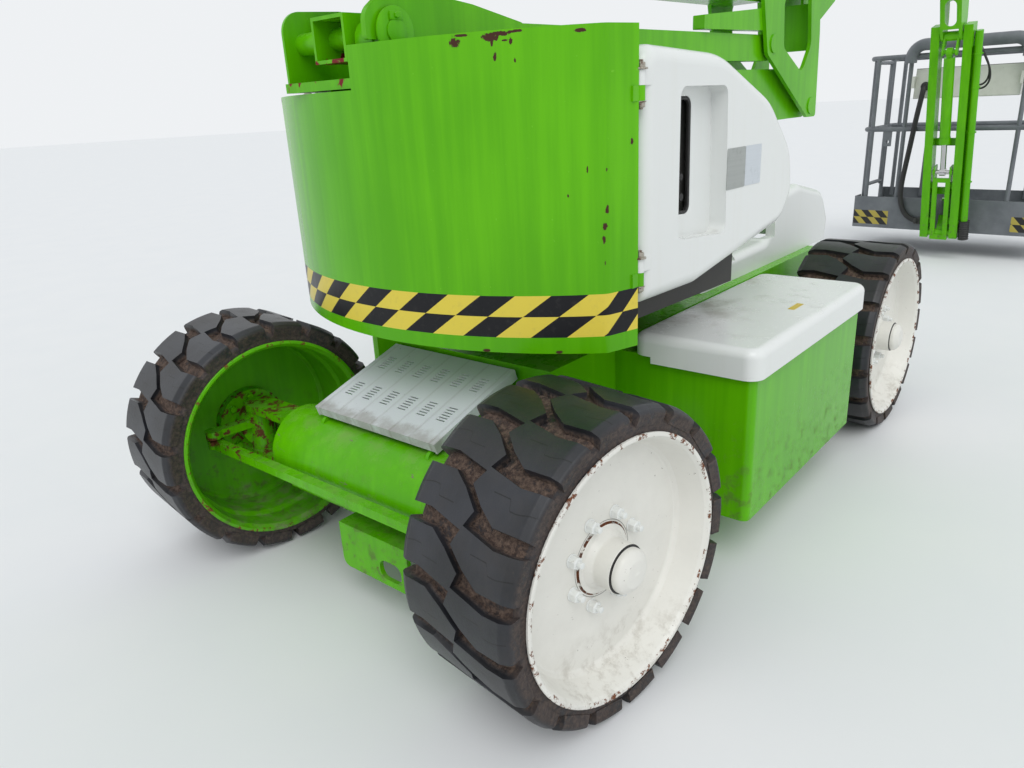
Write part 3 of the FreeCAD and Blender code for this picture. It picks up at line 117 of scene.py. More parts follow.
# %% Arithmetic on sockets
class Flow:
    """One output of a shader node. Signs such as + and * make Math nodes."""

    def __init__(self, socket):
        self.socket = socket

    def node(self, kind, settings=None, inputs=None, out=0):
        made = self.socket.id_data.nodes.new(kind)
        for name, value in (settings or {}).items():
            if name == "stops":
                ramp = made.color_ramp
                while len(ramp.elements) < len(value):
                    ramp.elements.new(1.0)
                for stop, (place, shade) in zip(ramp.elements, value):
                    stop.position = place
                    stop.color = shade
            else:
                setattr(made, name, value)
        for name, value in (inputs or {}).items():
            if isinstance(value, Flow):
                self.socket.id_data.links.new(value.socket, made.inputs[name])
            else:
                made.inputs[name].default_value = value
        return Flow(made.outputs[out])

    def math(self, operation, a, b=0.0, c=0.0):
        return self.node("ShaderNodeMath", {"operation": operation}, {0: a, 1: b, 2: c})

    def __add__(self, other):
        return self.math("ADD", self, other)

    def __radd__(self, other):
        return self.math("ADD", other, self)

    def __sub__(self, other):
        return self.math("SUBTRACT", self, other)

    def __rsub__(self, other):
        return self.math("SUBTRACT", other, self)

    def __mul__(self, other):
        return self.math("MULTIPLY", self, other)

    def __rmul__(self, other):
        return self.math("MULTIPLY", other, self)

    def __truediv__(self, other):
        return self.math("DIVIDE", self, other)

    def __abs__(self):
        return self.math("ABSOLUTE", self)

    def over(self, other):
        return self.math("GREATER_THAN", self, other)

    def under(self, other):
        return self.math("LESS_THAN", self, other)

    def largest(self, other):
        return self.math("MAXIMUM", self, other)

    def smallest(self, other):
        return self.math("MINIMUM", self, other)

    def whole(self):
        return self.math("FLOOR", self)

    def root(self):
        return self.math("SQRT", self)

    def angle(self, across):
        """Angle in radians whose tangent is this value divided by across."""
        return self.math("ARCTAN2", self, across)

    def remainder(self, size):
        return self.math("FLOORED_MODULO", self, size)

    def zigzag(self, height):
        return self.math("PINGPONG", self, height)

    def inside(self, middle, half):
        """1 where this value is within half of middle."""
        return abs(self - middle).under(half)

    def ease(self, low, high):
        """0 below low, 1 above high and a smooth step between."""
        return self.node(
            "ShaderNodeMapRange", {"interpolation_type": "SMOOTHSTEP"},
            {"Value": self, "From Min": low, "From Max": high},
        )

    def blend(self, under, over):
        """Colour under where this value is 0 and over where it is 1."""
        return self.node("ShaderNodeMix", {"data_type": "RGBA"}, {0: self, 6: under, 7: over}, out=2)

    def axis(self, index):
        return self.node("ShaderNodeSeparateXYZ", {}, {0: self}, out=index)


print("arithmetic ready")

# %% [markdown]
# ## Helpers for finishes
#
# Every finish starts from Object coordinates, which are also scene coordinates here because each
# part's object sits at the origin. A Mapping node turns them into a wheel's or the turret's own
# directions where a pattern follows that part.

# %% Materials, noise and bumps
def finish_of(name):
    """A new material's Principled shader and its Object coordinates as a Flow."""
    material = bpy.data.materials.new(name)
    material.use_nodes = True
    tree = material.node_tree
    shader = tree.nodes["Principled BSDF"]
    place = tree.nodes.new("ShaderNodeTexCoord").outputs["Object"]
    return material, shader, Flow(place)


def feed(shader, **sockets):
    """Links or sets the shader's sockets, with an underscore for each space in a name."""
    for name, value in sockets.items():
        socket = shader.inputs[name.replace("_", " ")]
        if isinstance(value, Flow):
            shader.id_data.links.new(value.socket, socket)
        else:
            socket.default_value = value


def own_place(place, matrix):
    """Object coordinates turned into the directions of a part that the matrix carries into the scene."""
    back = matrix.inverted()
    return place.node(
        "ShaderNodeMapping", {},
        {"Vector": place, "Location": back.translation, "Rotation": tuple(back.to_euler())},
    )


def noise(place, scale, detail=3.0, rough=0.55, stretch=(1, 1, 1)):
    """Cloudy noise from 0 to 1, drawn out along an axis where its stretch is under 1."""
    moved = place.node("ShaderNodeMapping", {}, {"Vector": place, "Scale": stretch})
    return place.node(
        "ShaderNodeTexNoise", {}, {"Vector": moved, "Scale": scale, "Detail": detail, "Roughness": rough}
    )


def facing_up(place, low=0.5, high=0.95):
    """1 on faces that look at the sky, 0 on walls, read from the surface normal."""
    normal = place.node("ShaderNodeNewGeometry", {}, {}, out=1)
    return normal.axis(2).ease(low, high)


def bump(place, height, distance, strength=0.5):
    return place.node("ShaderNodeBump", {}, {"Height": height, "Distance": distance, "Strength": strength})


print("shader helpers ready")

# %% [markdown]
# ## Floor, daylight and background
#
# The machine was photographed under an overcast sky, so the light is broad and soft. The world
# gives most of it, one wide sun gives the gentle fall-off to one side, and the floor and the
# background are nearly white. The level is set so that a colour renders about as it is written.

# %% Floor and light
world = bpy.data.worlds.new("overcast")
bpy.context.scene.world = world
world.use_nodes = True
sky = world.node_tree
sky.nodes.clear()
path = Flow(sky.nodes.new("ShaderNodeLightPath").outputs["Is Camera Ray"])
rays = path.socket.node.outputs
seen = path.largest(Flow(rays["Is Glossy Ray"])).largest(Flow(rays["Is Transmission Ray"]))
soft = path.node("ShaderNodeBackground", {}, {"Color": (0.93, 0.97, 1.0, 1), "Strength": 0.78})
shown = path.node("ShaderNodeBackground", {}, {"Color": (0.86, 0.88, 0.90, 1), "Strength": 1.0})
mixed = path.node("ShaderNodeMixShader", {}, {0: seen, 1: soft, 2: shown})
out = sky.nodes.new("ShaderNodeOutputWorld")
sky.links.new(mixed.socket, out.inputs[0])

sun_data = bpy.data.lights.new("bright_cloud", "SUN")
sun_data.energy = 1.1
sun_data.angle = math.radians(40)
sun = bpy.data.objects.new("bright_cloud", sun_data)
bpy.context.scene.collection.objects.link(sun)
sun.rotation_euler = (math.radians(40), math.radians(-8), math.radians(-35))


def pale_floor():
    material, shader, place = finish_of("pale_floor")
    feed(shader, Base_Color=noise(place, 3.0).blend((0.78, 0.79, 0.80, 1), (0.82, 0.82, 0.82, 1)),
         Roughness=0.92)
    shader.inputs["Specular IOR Level"].default_value = 0.1
    return material


ground = bmesh.new()
bmesh.ops.create_circle(ground, cap_ends=True, segments=64, radius=60.0)
floor_data = bpy.data.meshes.new("studio_floor")
ground.to_mesh(floor_data)
ground.free()
floor_data.materials.append(pale_floor())
floor = bpy.data.objects.new("studio_floor", floor_data)
bpy.context.scene.collection.objects.link(floor)
print("floor and light ready")

# %% [markdown]
# ## Lime paint
#
# Chassis, booms and turret are sprayed in a bright lime. It is a gloss coat on plate, so it has a
# faint orange-peel and fine runs, dust on upward faces, a few chips where the steel rusts, and
# road dirt on everything that is near the ground. The runs are noise stretched along z, which is
# how rain washes a standing machine.

# %% Lime paint
LIME_BRIGHT = (0.128, 0.500, 0.0016, 1)
LIME_DEEP = (0.092, 0.400, 0.0010, 1)
LIME_PALE = (0.235, 0.610, 0.045, 1)
RUST_DARK = (0.062, 0.022, 0.014, 1)
RUST_WARM = (0.165, 0.052, 0.016, 1)
ROAD_DIRT = (0.105, 0.078, 0.050, 1)
PAINT_SHINE = 0.24


def lime_layers(place, chip_level=0.725):
    """Colour, chips and dirt of the lime coat, before anything that one part adds."""
    cloud = noise(place, 1.7)
    runs = noise(place, 34.0, 4.0, 0.6, (1, 1, 0.05))
    paint = (cloud * 0.55 + runs * 0.45).ease(0.38, 0.66).blend(LIME_DEEP, LIME_BRIGHT)
    drops = noise(place, 95.0, 2.0, 0.5).ease(0.735, 0.775)
    spotted = (drops * 0.4).blend(paint, LIME_PALE)
    dust = facing_up(place) * noise(place, 11.0, 5.0, 0.7).ease(0.40, 0.74) * 0.34
    dusty = dust.blend(spotted, (0.30, 0.33, 0.15, 1))
    low = 1.0 - place.axis(2).ease(0.10, 0.52)
    dirt = low * noise(place, 26.0, 6.0, 0.72).ease(0.50, 0.66) * 0.62
    dirty = dirt.blend(dusty, ROAD_DIRT)
    chips = noise(place, 30.0, 6.0, 0.74).ease(chip_level, chip_level + 0.018)
    return chips.blend(dirty, RUST_DARK), dust, dirt, chips, runs


def lime_paint(name, chip_level=0.725):
    material, shader, place = finish_of(name)
    colour, dust, dirt, chips, runs = lime_layers(place, chip_level)
    feed(
        shader, Base_Color=colour,
        Roughness=0.23 + dust * 0.5 + dirt * 0.6 + chips * 0.5 + (runs - 0.5) * 0.16,
        Normal=bump(place, noise(place, 150.0, 2.0) * 0.4 - chips + dirt * 0.4, 0.0010, 0.30),
    )
    shader.inputs["Specular IOR Level"].default_value = PAINT_SHINE
    return material


LIME = lime_paint("lime_gloss_paint")
print(LIME.name)

# %% [markdown]
# ## The counterweight's band and chips
#
# Round the counterweight runs a hazard band: two rows of slanted black and yellow cells, each row
# shifted by one cell. It is worked out from the angle about the slew axis, which laid flat is a
# distance along the plate, so the cells keep their size round the curve. Along its top edge and
# down the fold at its right the paint is knocked off in a few places, listed here by distance
# along the plate, height, and half sizes.

# %% Counterweight paint
TAIL_RADIUS, TAIL_INNER = 0.894, 0.83
BAND_TOP, BAND_ROW, BAND_CELL, BAND_SLANT, BAND_START = 0.8325, 0.048, 0.082, 1.375, 0.3145
FOLD = 0.6285
CHIPS = (
    (-0.321, 1.361, 0.014, 0.010), (-0.338, 1.373, 0.022, 0.003), (-0.399, 1.366, 0.020, 0.009),
    (-0.420, 1.371, 0.026, 0.005), (-0.452, 1.373, 0.020, 0.003), (-0.407, 1.330, 0.004, 0.011),
    (-0.402, 1.354, 0.003, 0.010), (-0.441, 1.357, 0.004, 0.008), (-0.430, 1.358, 0.008, 0.002),
    (-0.448, 1.319, 0.003, 0.006), (-0.579, 1.367, 0.013, 0.004), (-0.629, 1.020, 0.004, 0.011),
    (-0.624, 0.986, 0.005, 0.009), (-0.622, 0.957, 0.004, 0.009), (-0.624, 0.908, 0.002, 0.006),
    (-0.687, 1.153, 0.004, 0.008), (-0.629, 1.103, 0.002, 0.006), (-0.548, 1.052, 0.002, 0.004),
    (-0.589, 1.104, 0.002, 0.007), (0.10, 1.371, 0.010, 0.004), (0.47, 1.276, 0.016, 0.006),
    (-0.35, 0.708, 0.012, 0.004), (-0.52, 0.709, 0.009, 0.004),
)


def band_colour(place, along, height):
    """Black and yellow cells, and the mask of the tape that they are printed on."""
    bent = along + (along + FOLD).smallest(0.0) * 0.6
    down = (BAND_TOP - height) - along * 0.012
    row = (down / BAND_ROW).whole()
    across = (bent - down * BAND_SLANT - BAND_START) / BAND_CELL
    cell = across.whole()
    odd = (cell + row).remainder(2.0)
    tape = down.over(0.0) * down.under(2 * BAND_ROW)
    worn = noise(place, 60.0, 5.0, 0.7).ease(0.52, 0.75)
    yellow = (worn * 0.25).blend((0.760, 0.610, 0.075, 1), (0.50, 0.40, 0.10, 1))
    black = (worn * 0.5).blend((0.010, 0.010, 0.012, 1), (0.040, 0.038, 0.036, 1))
    return odd.blend(yellow, black), tape


def counterweight_paint():
    material, shader, place = finish_of("lime_with_hazard_band")
    colour, dust, _, _, runs = lime_layers(place, 0.76)
    own = own_place(place, TURRET)
    x, y, height = own.axis(0), own.axis(1), own.axis(2)
    along = y.angle(x * -1.0) * TAIL_RADIUS
    outside = (x * x + y * y).over(TAIL_INNER ** 2)
    cells, tape = band_colour(place, along, height)
    taped = (tape * outside).blend(colour, cells)
    ragged = noise(place, 110.0, 5.0, 0.7)
    knocked = None
    for u, z, wide, tall in CHIPS:
        du, dz = (along - u) / wide, (height - z) / tall
        inner = 1.45 - (du * du + dz * dz)
        chip = (inner * 0.5 + ragged * 2.0 - 1.0).ease(0.30, 0.42)
        knocked = knocked.largest(chip) if knocked else chip
    rusty = (knocked * outside).blend(taped, RUST_DARK)
    feed(
        shader, Base_Color=rusty,
        Roughness=0.22 + dust * 0.5 + knocked * 0.5 + tape * 0.10 + (runs - 0.5) * 0.16,
        Normal=bump(place, noise(place, 150.0, 2.0) * 0.35 - knocked, 0.0010, 0.28),
    )
    shader.inputs["Specular IOR Level"].default_value = PAINT_SHINE
    return material


COUNTERWEIGHT = counterweight_paint()
print(COUNTERWEIGHT.name, "with", len(CHIPS), "chips")

# %% [markdown]
# ## Turret paint
#
# Inside the left pivot pocket the red primer shows in a stain under the pin tube. The rest of the
# turret frame is the same lime.

# %% Turret paint
def turret_paint():
    material, shader, place = finish_of("lime_turret_paint")
    colour, dust, _, chips, _ = lime_layers(place, 0.745)
    own = own_place(place, TURRET)
    x, y, z = own.axis(0), own.axis(1), own.axis(2)
    pocket = y.over(-0.005) * y.under(0.236) * z.under(1.372) * z.over(1.285) * x.under(-0.64)
    stain = pocket * (noise(place, 26.0, 5.0, 0.7) + (0.030 - abs(z - 1.342)) * 3.2).ease(0.53, 0.58)
    red = stain.blend(colour, (0.180, 0.006, 0.012, 1))
    feed(
        shader, Base_Color=red,
        Roughness=0.25 + dust * 0.5 + stain * 0.3 + chips * 0.5,
        Normal=bump(place, noise(place, 150.0, 2.0) * 0.35 - chips - stain * 0.5, 0.0010, 0.28),
    )
    shader.inputs["Specular IOR Level"].default_value = PAINT_SHINE
    return material


TURRET_PAINT = turret_paint()
print(TURRET_PAINT.name)

# %% [markdown]
# ## Steering axle paint
#
# Near the kingpins the paint of the axle is chipped to brown steel, with scratches on the round
# cover. The wear is a mask that grows towards each end of the axle.

# %% Axle paint
def axle_paint():
    material, shader, place = finish_of("lime_axle_paint")
    colour, dust, dirt, _, _ = lime_layers(place, 0.715)
    own = own_place(place, CHASSIS)
    y = abs(own.axis(1))
    near_pin = y.ease(0.30, 0.45)
    edge = noise(place, 34.0, 6.0, 0.72)
    bare = (near_pin * 0.17 + edge).ease(0.70, 0.73)
    scratch = noise(place, 60.0, 3.0, 0.6, (1.0, 0.25, 1.0)).ease(0.70, 0.72)
    rusty = bare.blend(scratch.blend(colour, (0.19, 0.16, 0.12, 1)), edge.blend(RUST_DARK, RUST_WARM))
    feed(
        shader, Base_Color=rusty,
        Roughness=0.24 + dust * 0.4 + dirt * 0.5 + bare * 0.45 + scratch * 0.2,
        Normal=bump(place, noise(place, 120.0, 2.0) * 0.35 - bare - scratch * 0.4, 0.0012, 0.32),
    )
    shader.inputs["Specular IOR Level"].default_value = PAINT_SHINE
    return material


AXLE_PAINT = axle_paint()
print(AXLE_PAINT.name)

# %% [markdown]
# ## White gel coat
#
# Covers and lids are moulded in glass fibre with a white gel coat. It is smooth, with faint
# yellow runs down the walls and brown tide marks where water stands. The lids are the dirtiest
# close to the turret, which drips on them, so their stain grows towards the middle of the machine.

# %% White gel coat
WHITE = (0.770, 0.785, 0.765, 1)


def gel_coat(name, drip_from=0.0, speckle=0.35):
    material, shader, place = finish_of(name)
    own = own_place(place, CHASSIS)
    stain = noise(place, 6.0, 7.0, 0.70)
    speck = noise(place, 75.0, 5.0, 0.72).ease(0.60, 0.72)
    up = facing_up(place)
    runs = noise(place, 30.0, 4.0, 0.6, (1, 1, 0.06)).ease(0.50, 0.80)
    dirt = up * stain.ease(0.50, 0.74) * 0.35 + up * speck * speckle
    if drip_from:
        close = 1.0 - abs(own.axis(1)).ease(drip_from - 0.14, drip_from + 0.08)
        dirt = dirt + up * close * (stain * 0.6 + speck * 0.5).ease(0.24, 0.62) * 0.62
    walls = (runs * 0.10).blend(WHITE, (0.62, 0.60, 0.47, 1))
    white = dirt.blend(walls, (0.27, 0.225, 0.175, 1))
    feed(
        shader, Base_Color=white, Roughness=0.25 + dirt * 0.5,
        Normal=bump(place, noise(place, 210.0, 2.0) * 0.6 + noise(place, 30.0, 2.0) * 0.4, 0.0008, 0.16),
    )
    return material


GEL_COAT = gel_coat("white_gel_coat")
LID_COAT = gel_coat("white_lid_coat", 0.53, 0.45)
COVER_COAT = gel_coat("white_cover_coat", 0.02, 0.30)
print(GEL_COAT.name, LID_COAT.name, COVER_COAT.name)

# %% [markdown]
# ## Painted sheet behind the counterweight
#
# The louvred panel is thin white-painted sheet with pressed ribs between its rows of slots. The
# ribs and the soil that collects along its lower edge are drawn with its own slope as a guide. The
# narrow grooves between the ribs carry painted shade.

# %% Louvred panel paint
RIB_PITCH = 0.07


def panel_paint():
    material, shader, place = finish_of("white_panel_paint")
    own = own_place(place, CHASSIS)
    x, y = own.axis(0), own.axis(1)
    rib = (y / RIB_PITCH).zigzag(0.5)
    groove = 1.0 - abs(rib).ease(0.00, 0.09)
    cloud = noise(place, 18.0, 7.0, 0.72)
    lower = 1.0 - x.ease(-0.955, -0.90)
    dirt = (cloud * 0.7 + lower * 0.30).ease(0.44, 0.72) * 0.55
    speck = noise(place, 120.0, 4.0, 0.7).ease(0.66, 0.72) * 0.6
    # Painted shade: the narrow grooves between the ribs are darkened towards the soil colour.
    grey = (dirt + groove * 0.18).blend((0.640, 0.665, 0.690, 1), (0.22, 0.19, 0.155, 1))
    feed(
        shader, Base_Color=speck.blend(grey, (0.09, 0.065, 0.05, 1)), Roughness=0.34 + dirt * 0.4,
        Normal=bump(place, groove * -1.0 + noise(place, 90.0, 3.0) * 0.15, 0.0015, 0.5),
    )
    return material


PANEL = panel_paint()
print(PANEL.name)

# %% [markdown]
# ## Rims
#
# Each rim is white on its outer side and lime on its inner side, where it was sprayed with the
# axle. The disc's own plane parts the two. Rust shows round both lips and a rust line follows the
# hub's pilot ring. Painted shade, a near-black line, marks the gap between the hub and its domed
# cap and a thin ring on the disc face.

# %% Rim paint
DISC_FACE = 0.0825


def rim_paint(wheel):
    material, shader, place = finish_of("rim_paint_" + wheel)
    own = own_place(place, WHEELS[wheel])
    x, y, z = own.axis(0), own.axis(1), own.axis(2)
    radius = (x * x + z * z).root()
    outer = y.over(DISC_FACE - 0.005)
    cloud = noise(place, 9.0, 5.0, 0.65)
    speck = noise(place, 85.0, 5.0, 0.74).ease(0.665, 0.70)
    bottom = (1.0 - z.ease(-0.27, -0.12)) * noise(place, 22.0, 6.0, 0.72).ease(0.46, 0.68)
    film = cloud.ease(0.35, 0.75) * 0.22
    white = film.blend((0.780, 0.765, 0.710, 1), (0.58, 0.565, 0.52, 1))
    paint = outer.blend(lime_layers(place, 0.74)[0], white)
    dirty = (bottom * 0.45).blend(paint, (0.30, 0.26, 0.20, 1))
    spotted = (speck * outer * 0.7).blend(dirty, (0.10, 0.060, 0.040, 1))
    crumbs = noise(place, 40.0, 6.0, 0.75)
    lip = radius.over(0.2795) * abs(y).over(0.1475)
    lip_rust = lip * (crumbs + outer * 0.02).ease(0.545, 0.61)
    ring = radius.inside(0.0785, 0.0022) * outer * crumbs.ease(0.40, 0.50)
    barrel = outer * radius.over(0.255) * crumbs.ease(0.685, 0.70)
    rust = lip_rust.largest(ring).largest(barrel)
    rusty = rust.blend(spotted, crumbs.ease(0.40, 0.62).blend(RUST_DARK, RUST_WARM))
    # Painted shade: a near-black line where the hub meets its domed cap, and a thin ring on the disc face.
    gap = y.inside(DISC_FACE + 0.0631, 0.0014) * radius.under(0.058)
    groove = radius.inside(0.0845, 0.0010) * y.inside(DISC_FACE, 0.004)
    dark = gap.largest(groove * 0.6)
    feed(
        shader, Base_Color=dark.blend(rusty, (0.012, 0.011, 0.010, 1)),
        Roughness=0.30 + bottom * 0.3 + rust * 0.45 + film,
        Normal=bump(place, noise(place, 130.0, 2.0) * 0.3 - rust - dark, 0.0012, 0.30),
    )
    shader.inputs["Specular IOR Level"].default_value = 0.42
    return material


RIMS = {wheel: rim_paint(wheel) for wheel in WHEELS}
print("rims", sorted(RIMS))

# %% [markdown]
# ## Tyre rubber
#
# The tyres are foam filled with deep blocks, which are part of the CAD model. The shader adds what
# is too fine for it: a stepped sipe across each block, drawn as a bump with painted shade in its
# cut, scuffs, and the soil that fills the grooves between the blocks. Angle and distance from the
# wheel's own axis tell blocks from grooves.

# %% Tyre rubber
BLOCK_PITCH = 20.0  # degrees from one block to the next


def tyre_rubber(wheel):
    material, shader, place = finish_of("tyre_rubber_" + wheel)
    own = own_place(place, WHEELS[wheel])
    x, y, z = own.axis(0), own.axis(1), own.axis(2)
    radius = (x * x + z * z).root()
    degrees = z.angle(x) * (180.0 / math.pi)
    outer_row = y.over(0.0)
    turn = (outer_row * (degrees * 2.0 - 40.1) + (24.8 - degrees)).remainder(BLOCK_PITCH)
    v = abs(y)
    step = 8.9 - v.ease(0.083, 0.095) * 3.4 + v.ease(0.105, 0.155) * 1.5
    sipe = abs(turn - step).under(0.19) * v.over(0.040) * v.under(0.150) * radius.over(0.330)
    coarse = noise(place, 17.0, 7.0, 0.75)
    fine = noise(place, 95.0, 6.0, 0.75)
    hollow = 1.0 - radius.ease(0.3235, 0.3375)
    side = v.over(0.140)
    soil = hollow * (1.0 - side * 0.55) * (coarse * 0.75 + fine * 0.35).ease(0.40, 0.56)
    film = noise(place, 7.0, 6.0, 0.7).ease(0.42, 0.75) * 0.22 + fine.ease(0.60, 0.75) * 0.35
    cloud = noise(place, 5.0, 4.0, 0.6).ease(0.35, 0.7)
    rubber = cloud.blend((0.0090, 0.0100, 0.0125, 1), (0.023, 0.025, 0.032, 1))
    filmed = film.blend(rubber, (0.075, 0.060, 0.048, 1))
    earth = fine.ease(0.35, 0.70).blend((0.045, 0.026, 0.020, 1), (0.185, 0.125, 0.092, 1))
    soiled = (soil * 0.92).blend(filmed, earth)
    # The sipe is painted near black: painted shade inside the cut.
    feed(
        shader, Base_Color=(sipe * 0.85).blend(soiled, (0.002, 0.002, 0.002, 1)),
        Roughness=0.38 + soil * 0.5 + film * 0.5 + side * 0.08,
        Normal=bump(place, fine * 0.30 + soil * fine * 2.0 - sipe * 2.2 + coarse * 0.25, 0.0028, 0.55),
    )
    return material


TYRES = {wheel: tyre_rubber(wheel) for wheel in WHEELS}
print("tyres", sorted(TYRES))

# %% [markdown]
# ## Basket paint and the plain finishes
#
# The basket is grey paint on steel tube. Its toe plates carry a small hazard patch at each rear
# corner, drawn as on the counterweight. Cylinder rods are hard chrome, the engine block is dull
# cast grey, hoses and boots are black rubber, and small bolts are zinc plated.

# %% Grey basket paint
PATCH_ROW, PATCH_CELL = 0.052, 0.0515


def grey_layers(place):
    cloud = noise(place, 7.0, 5.0, 0.6)
    scuff = noise(place, 48.0, 5.0, 0.7).ease(0.64, 0.72)
    base = cloud.ease(0.3, 0.7).blend((0.118, 0.128, 0.142, 1), (0.172, 0.184, 0.198, 1))
    rust = noise(place, 38.0, 6.0, 0.74).ease(0.715, 0.74)
    worn = (scuff * 0.5).blend(base, (0.33, 0.33, 0.32, 1))
    return rust.blend(worn, RUST_DARK), cloud, rust


def grey_paint():
    material, shader, place = finish_of("grey_basket_paint")
    colour, cloud, rust = grey_layers(place)
    feed(
        shader, Base_Color=colour, Roughness=0.36 + cloud * 0.16 + rust * 0.3,
        Normal=bump(place, noise(place, 120.0, 3.0) * 0.5 - rust, 0.0006, 0.2),
    )
    return material


def toe_plate_paint():
    material, shader, place = finish_of("grey_toe_plate_paint")
    colour, cloud, rust = grey_layers(place)
    own = own_place(place, TURRET)
    x, y, z = own.axis(0), own.axis(1), own.axis(2)
    corners = y.inside(0.531, 0.127).largest(y.inside(-0.535, 0.121))
    patch = x.under(4.343) * z.inside(0.253, PATCH_ROW) * corners
    down = 0.305 - z
    row = (down / PATCH_ROW).whole()
    across = (y * -1.0 - down * 0.93 + 0.656) / PATCH_CELL
    odd = (across.whole() + row).remainder(2.0)
    cells = odd.blend((0.42, 0.34, 0.06, 1), (0.012, 0.012, 0.013, 1))
    feed(
        shader, Base_Color=patch.blend(colour, cells), Roughness=0.36 + cloud * 0.16 + rust * 0.3,
        Normal=bump(place, noise(place, 120.0, 3.0) * 0.5 + patch * 0.4, 0.0006, 0.2),
    )
    return material


GREY, TOE_PLATE = grey_paint(), toe_plate_paint()
print(GREY.name, TOE_PLATE.name)

# %% Chrome, castings, rubber and small metal
def chrome():
    material, shader, place = finish_of("hard_chrome")
    film = noise(place, 20.0, 4.0, 0.6)
    feed(shader, Base_Color=film.blend((0.62, 0.63, 0.65, 1), (0.50, 0.49, 0.46, 1)), Metallic=1.0,
         Roughness=0.12 + film * 0.16)
    return material


def cast_grey():
    material, shader, place = finish_of("dull_cast_grey")
    cloud = noise(place, 12.0, 5.0, 0.7)
    feed(shader, Base_Color=cloud.blend((0.035, 0.036, 0.038, 1), (0.075, 0.070, 0.062, 1)),
         Roughness=0.62 + cloud * 0.2, Normal=bump(place, noise(place, 90.0, 4.0), 0.001, 0.35))
    return material


def black_rubber(name, ring_pitch=0.0):
    material, shader, place = finish_of(name)
    cloud = noise(place, 30.0, 4.0, 0.6)
    grain = noise(place, 220.0, 2.0)
    height = grain * 0.4
    if ring_pitch:
        height = height + (place.axis(2) / ring_pitch).zigzag(0.5) * 2.0
    feed(shader, Base_Color=cloud.blend((0.010, 0.010, 0.011, 1), (0.030, 0.029, 0.027, 1)),
         Roughness=0.45 + cloud * 0.2, Normal=bump(place, height, 0.0008, 0.4))
    return material


def old_zinc():
    material, shader, place = finish_of("old_zinc_fasteners")
    cloud = noise(place, 55.0, 5.0, 0.7)
    rust = cloud.ease(0.50, 0.62)
    feed(shader, Base_Color=rust.blend((0.42, 0.39, 0.33, 1), (0.10, 0.045, 0.022, 1)),
         Metallic=0.75 - rust * 0.75, Roughness=0.38 + rust * 0.4,
         Normal=bump(place, cloud, 0.0006, 0.4))
    return material


def console_shell():
    material, shader, place = finish_of("cream_console_shell")
    up = facing_up(place, 0.2, 0.9)
    cloud = noise(place, 14.0, 5.0, 0.65)
    speck = noise(place, 90.0, 5.0, 0.74).ease(0.66, 0.71) * 0.6
    cream = (cloud.ease(0.4, 0.8) * 0.3).blend((0.66, 0.66, 0.60, 1), (0.44, 0.43, 0.37, 1))
    feed(shader, Base_Color=speck.largest(up * 0.9).blend(cream, (0.035, 0.036, 0.038, 1)),
         Roughness=0.36 + up * 0.3, Normal=bump(place, noise(place, 150.0, 3.0), 0.0006, 0.2))
    return material


CHROME, CAST, ZINC, CONSOLE = chrome(), cast_grey(), old_zinc(), console_shell()
HOSE, BOOT = black_rubber("black_hose_rubber"), black_rubber("black_ribbed_boot", 0.009)
print(CHROME.name, CAST.name, ZINC.name, CONSOLE.name, HOSE.name, BOOT.name)

# %% [markdown]
# ## Finishes onto the CAD parts
#
# The record names a material slot for each part, which gives most of them their finish. The parts
# with a pattern of their own are then given it by name.

# %% Give each CAD node its finish
BY_SLOT = {
    "green_paint": LIME, "cream_shell": GEL_COAT, "cream_rim": GEL_COAT, "grey_paint": GREY,
    "tyre": HOSE, "chrome_rod": CHROME, "engine_grey": CAST, "black_hose": HOSE, "dark_green": LIME,
}
BY_NAME = {
    "counterweight": COUNTERWEIGHT, "turret_frame": TURRET_PAINT, "rear_axle": AXLE_PAINT,
    "front_axle": AXLE_PAINT, "lid_right": LID_COAT, "lid_left": LID_COAT, "front_cover": COVER_COAT,
    "rear_panel": PANEL, "toe_plates": TOE_PLATE, "console": CONSOLE, "jib_conduit": LIME,
    "knuckle_rear_left": AXLE_PAINT, "knuckle_rear_right": AXLE_PAINT, "track_rod": AXLE_PAINT,
}
BY_NAME.update({"rim_" + wheel: RIMS[wheel] for wheel in WHEELS})
BY_NAME.update({"tyre_" + wheel: TYRES[wheel] for wheel in WHEELS})
for part in frame["record"]["subparts"]:
    mesh = nodes[part["node"]].data
    mesh.materials.clear()
    mesh.materials.append(BY_NAME.get(part["node"], BY_SLOT[part["material_slot"]]))
print("dressed", len(nodes), "nodes")

# %% [markdown]
# ## Making small pieces
#
# Every added piece is one mesh built by bmesh operators and then moved into place, so its object
# stays at the origin like the CAD parts. A few short helpers cover the shapes that come up again:
# a turned rod with softened ends, a plate with softened edges, and a bolt.

# %% Piece helpers
def piece(name, shape, body, material, smooth=35.0):
    """Turns a bmesh into an object that rides on a body. Faces are made to point outwards."""
    bmesh.ops.recalc_face_normals(shape, faces=shape.faces)
    mesh = bpy.data.meshes.new(name)
    shape.to_mesh(mesh)
    shape.free()
    mesh.materials.append(material)
    mesh.shade_smooth()
    mesh.set_sharp_from_angle(angle=math.radians(smooth))
    made = bpy.data.objects.new(name, mesh)
    bpy.context.scene.collection.objects.link(made)
    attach(made, body)
    print(name, len(mesh.polygons), "faces")
    return made


def soften(shape, edges, width, steps=2):
    bmesh.ops.bevel(
        shape, geom=list(edges), offset=width, segments=steps, affect="EDGES", profile=0.5, material=-1
    )


def add_rod(shape, matrix, radius, low, high, sides=20, soft=0.0, top_radius=None):
    """A turned rod along the matrix's Z, from low to high, with softened ends."""
    made = bmesh.ops.create_cone(
        shape, cap_ends=True, segments=sides, radius1=radius,
        radius2=radius if top_radius is None else top_radius, depth=high - low,
        matrix=matrix @ Matrix.Translation((0, 0, (low + high) / 2)),
    )["verts"]
    if soft:
        ends = {
            e for v in made for e in v.link_edges
            if len([f for f in e.link_faces if len(f.verts) > 4]) == 1
        }
        soften(shape, ends, soft)


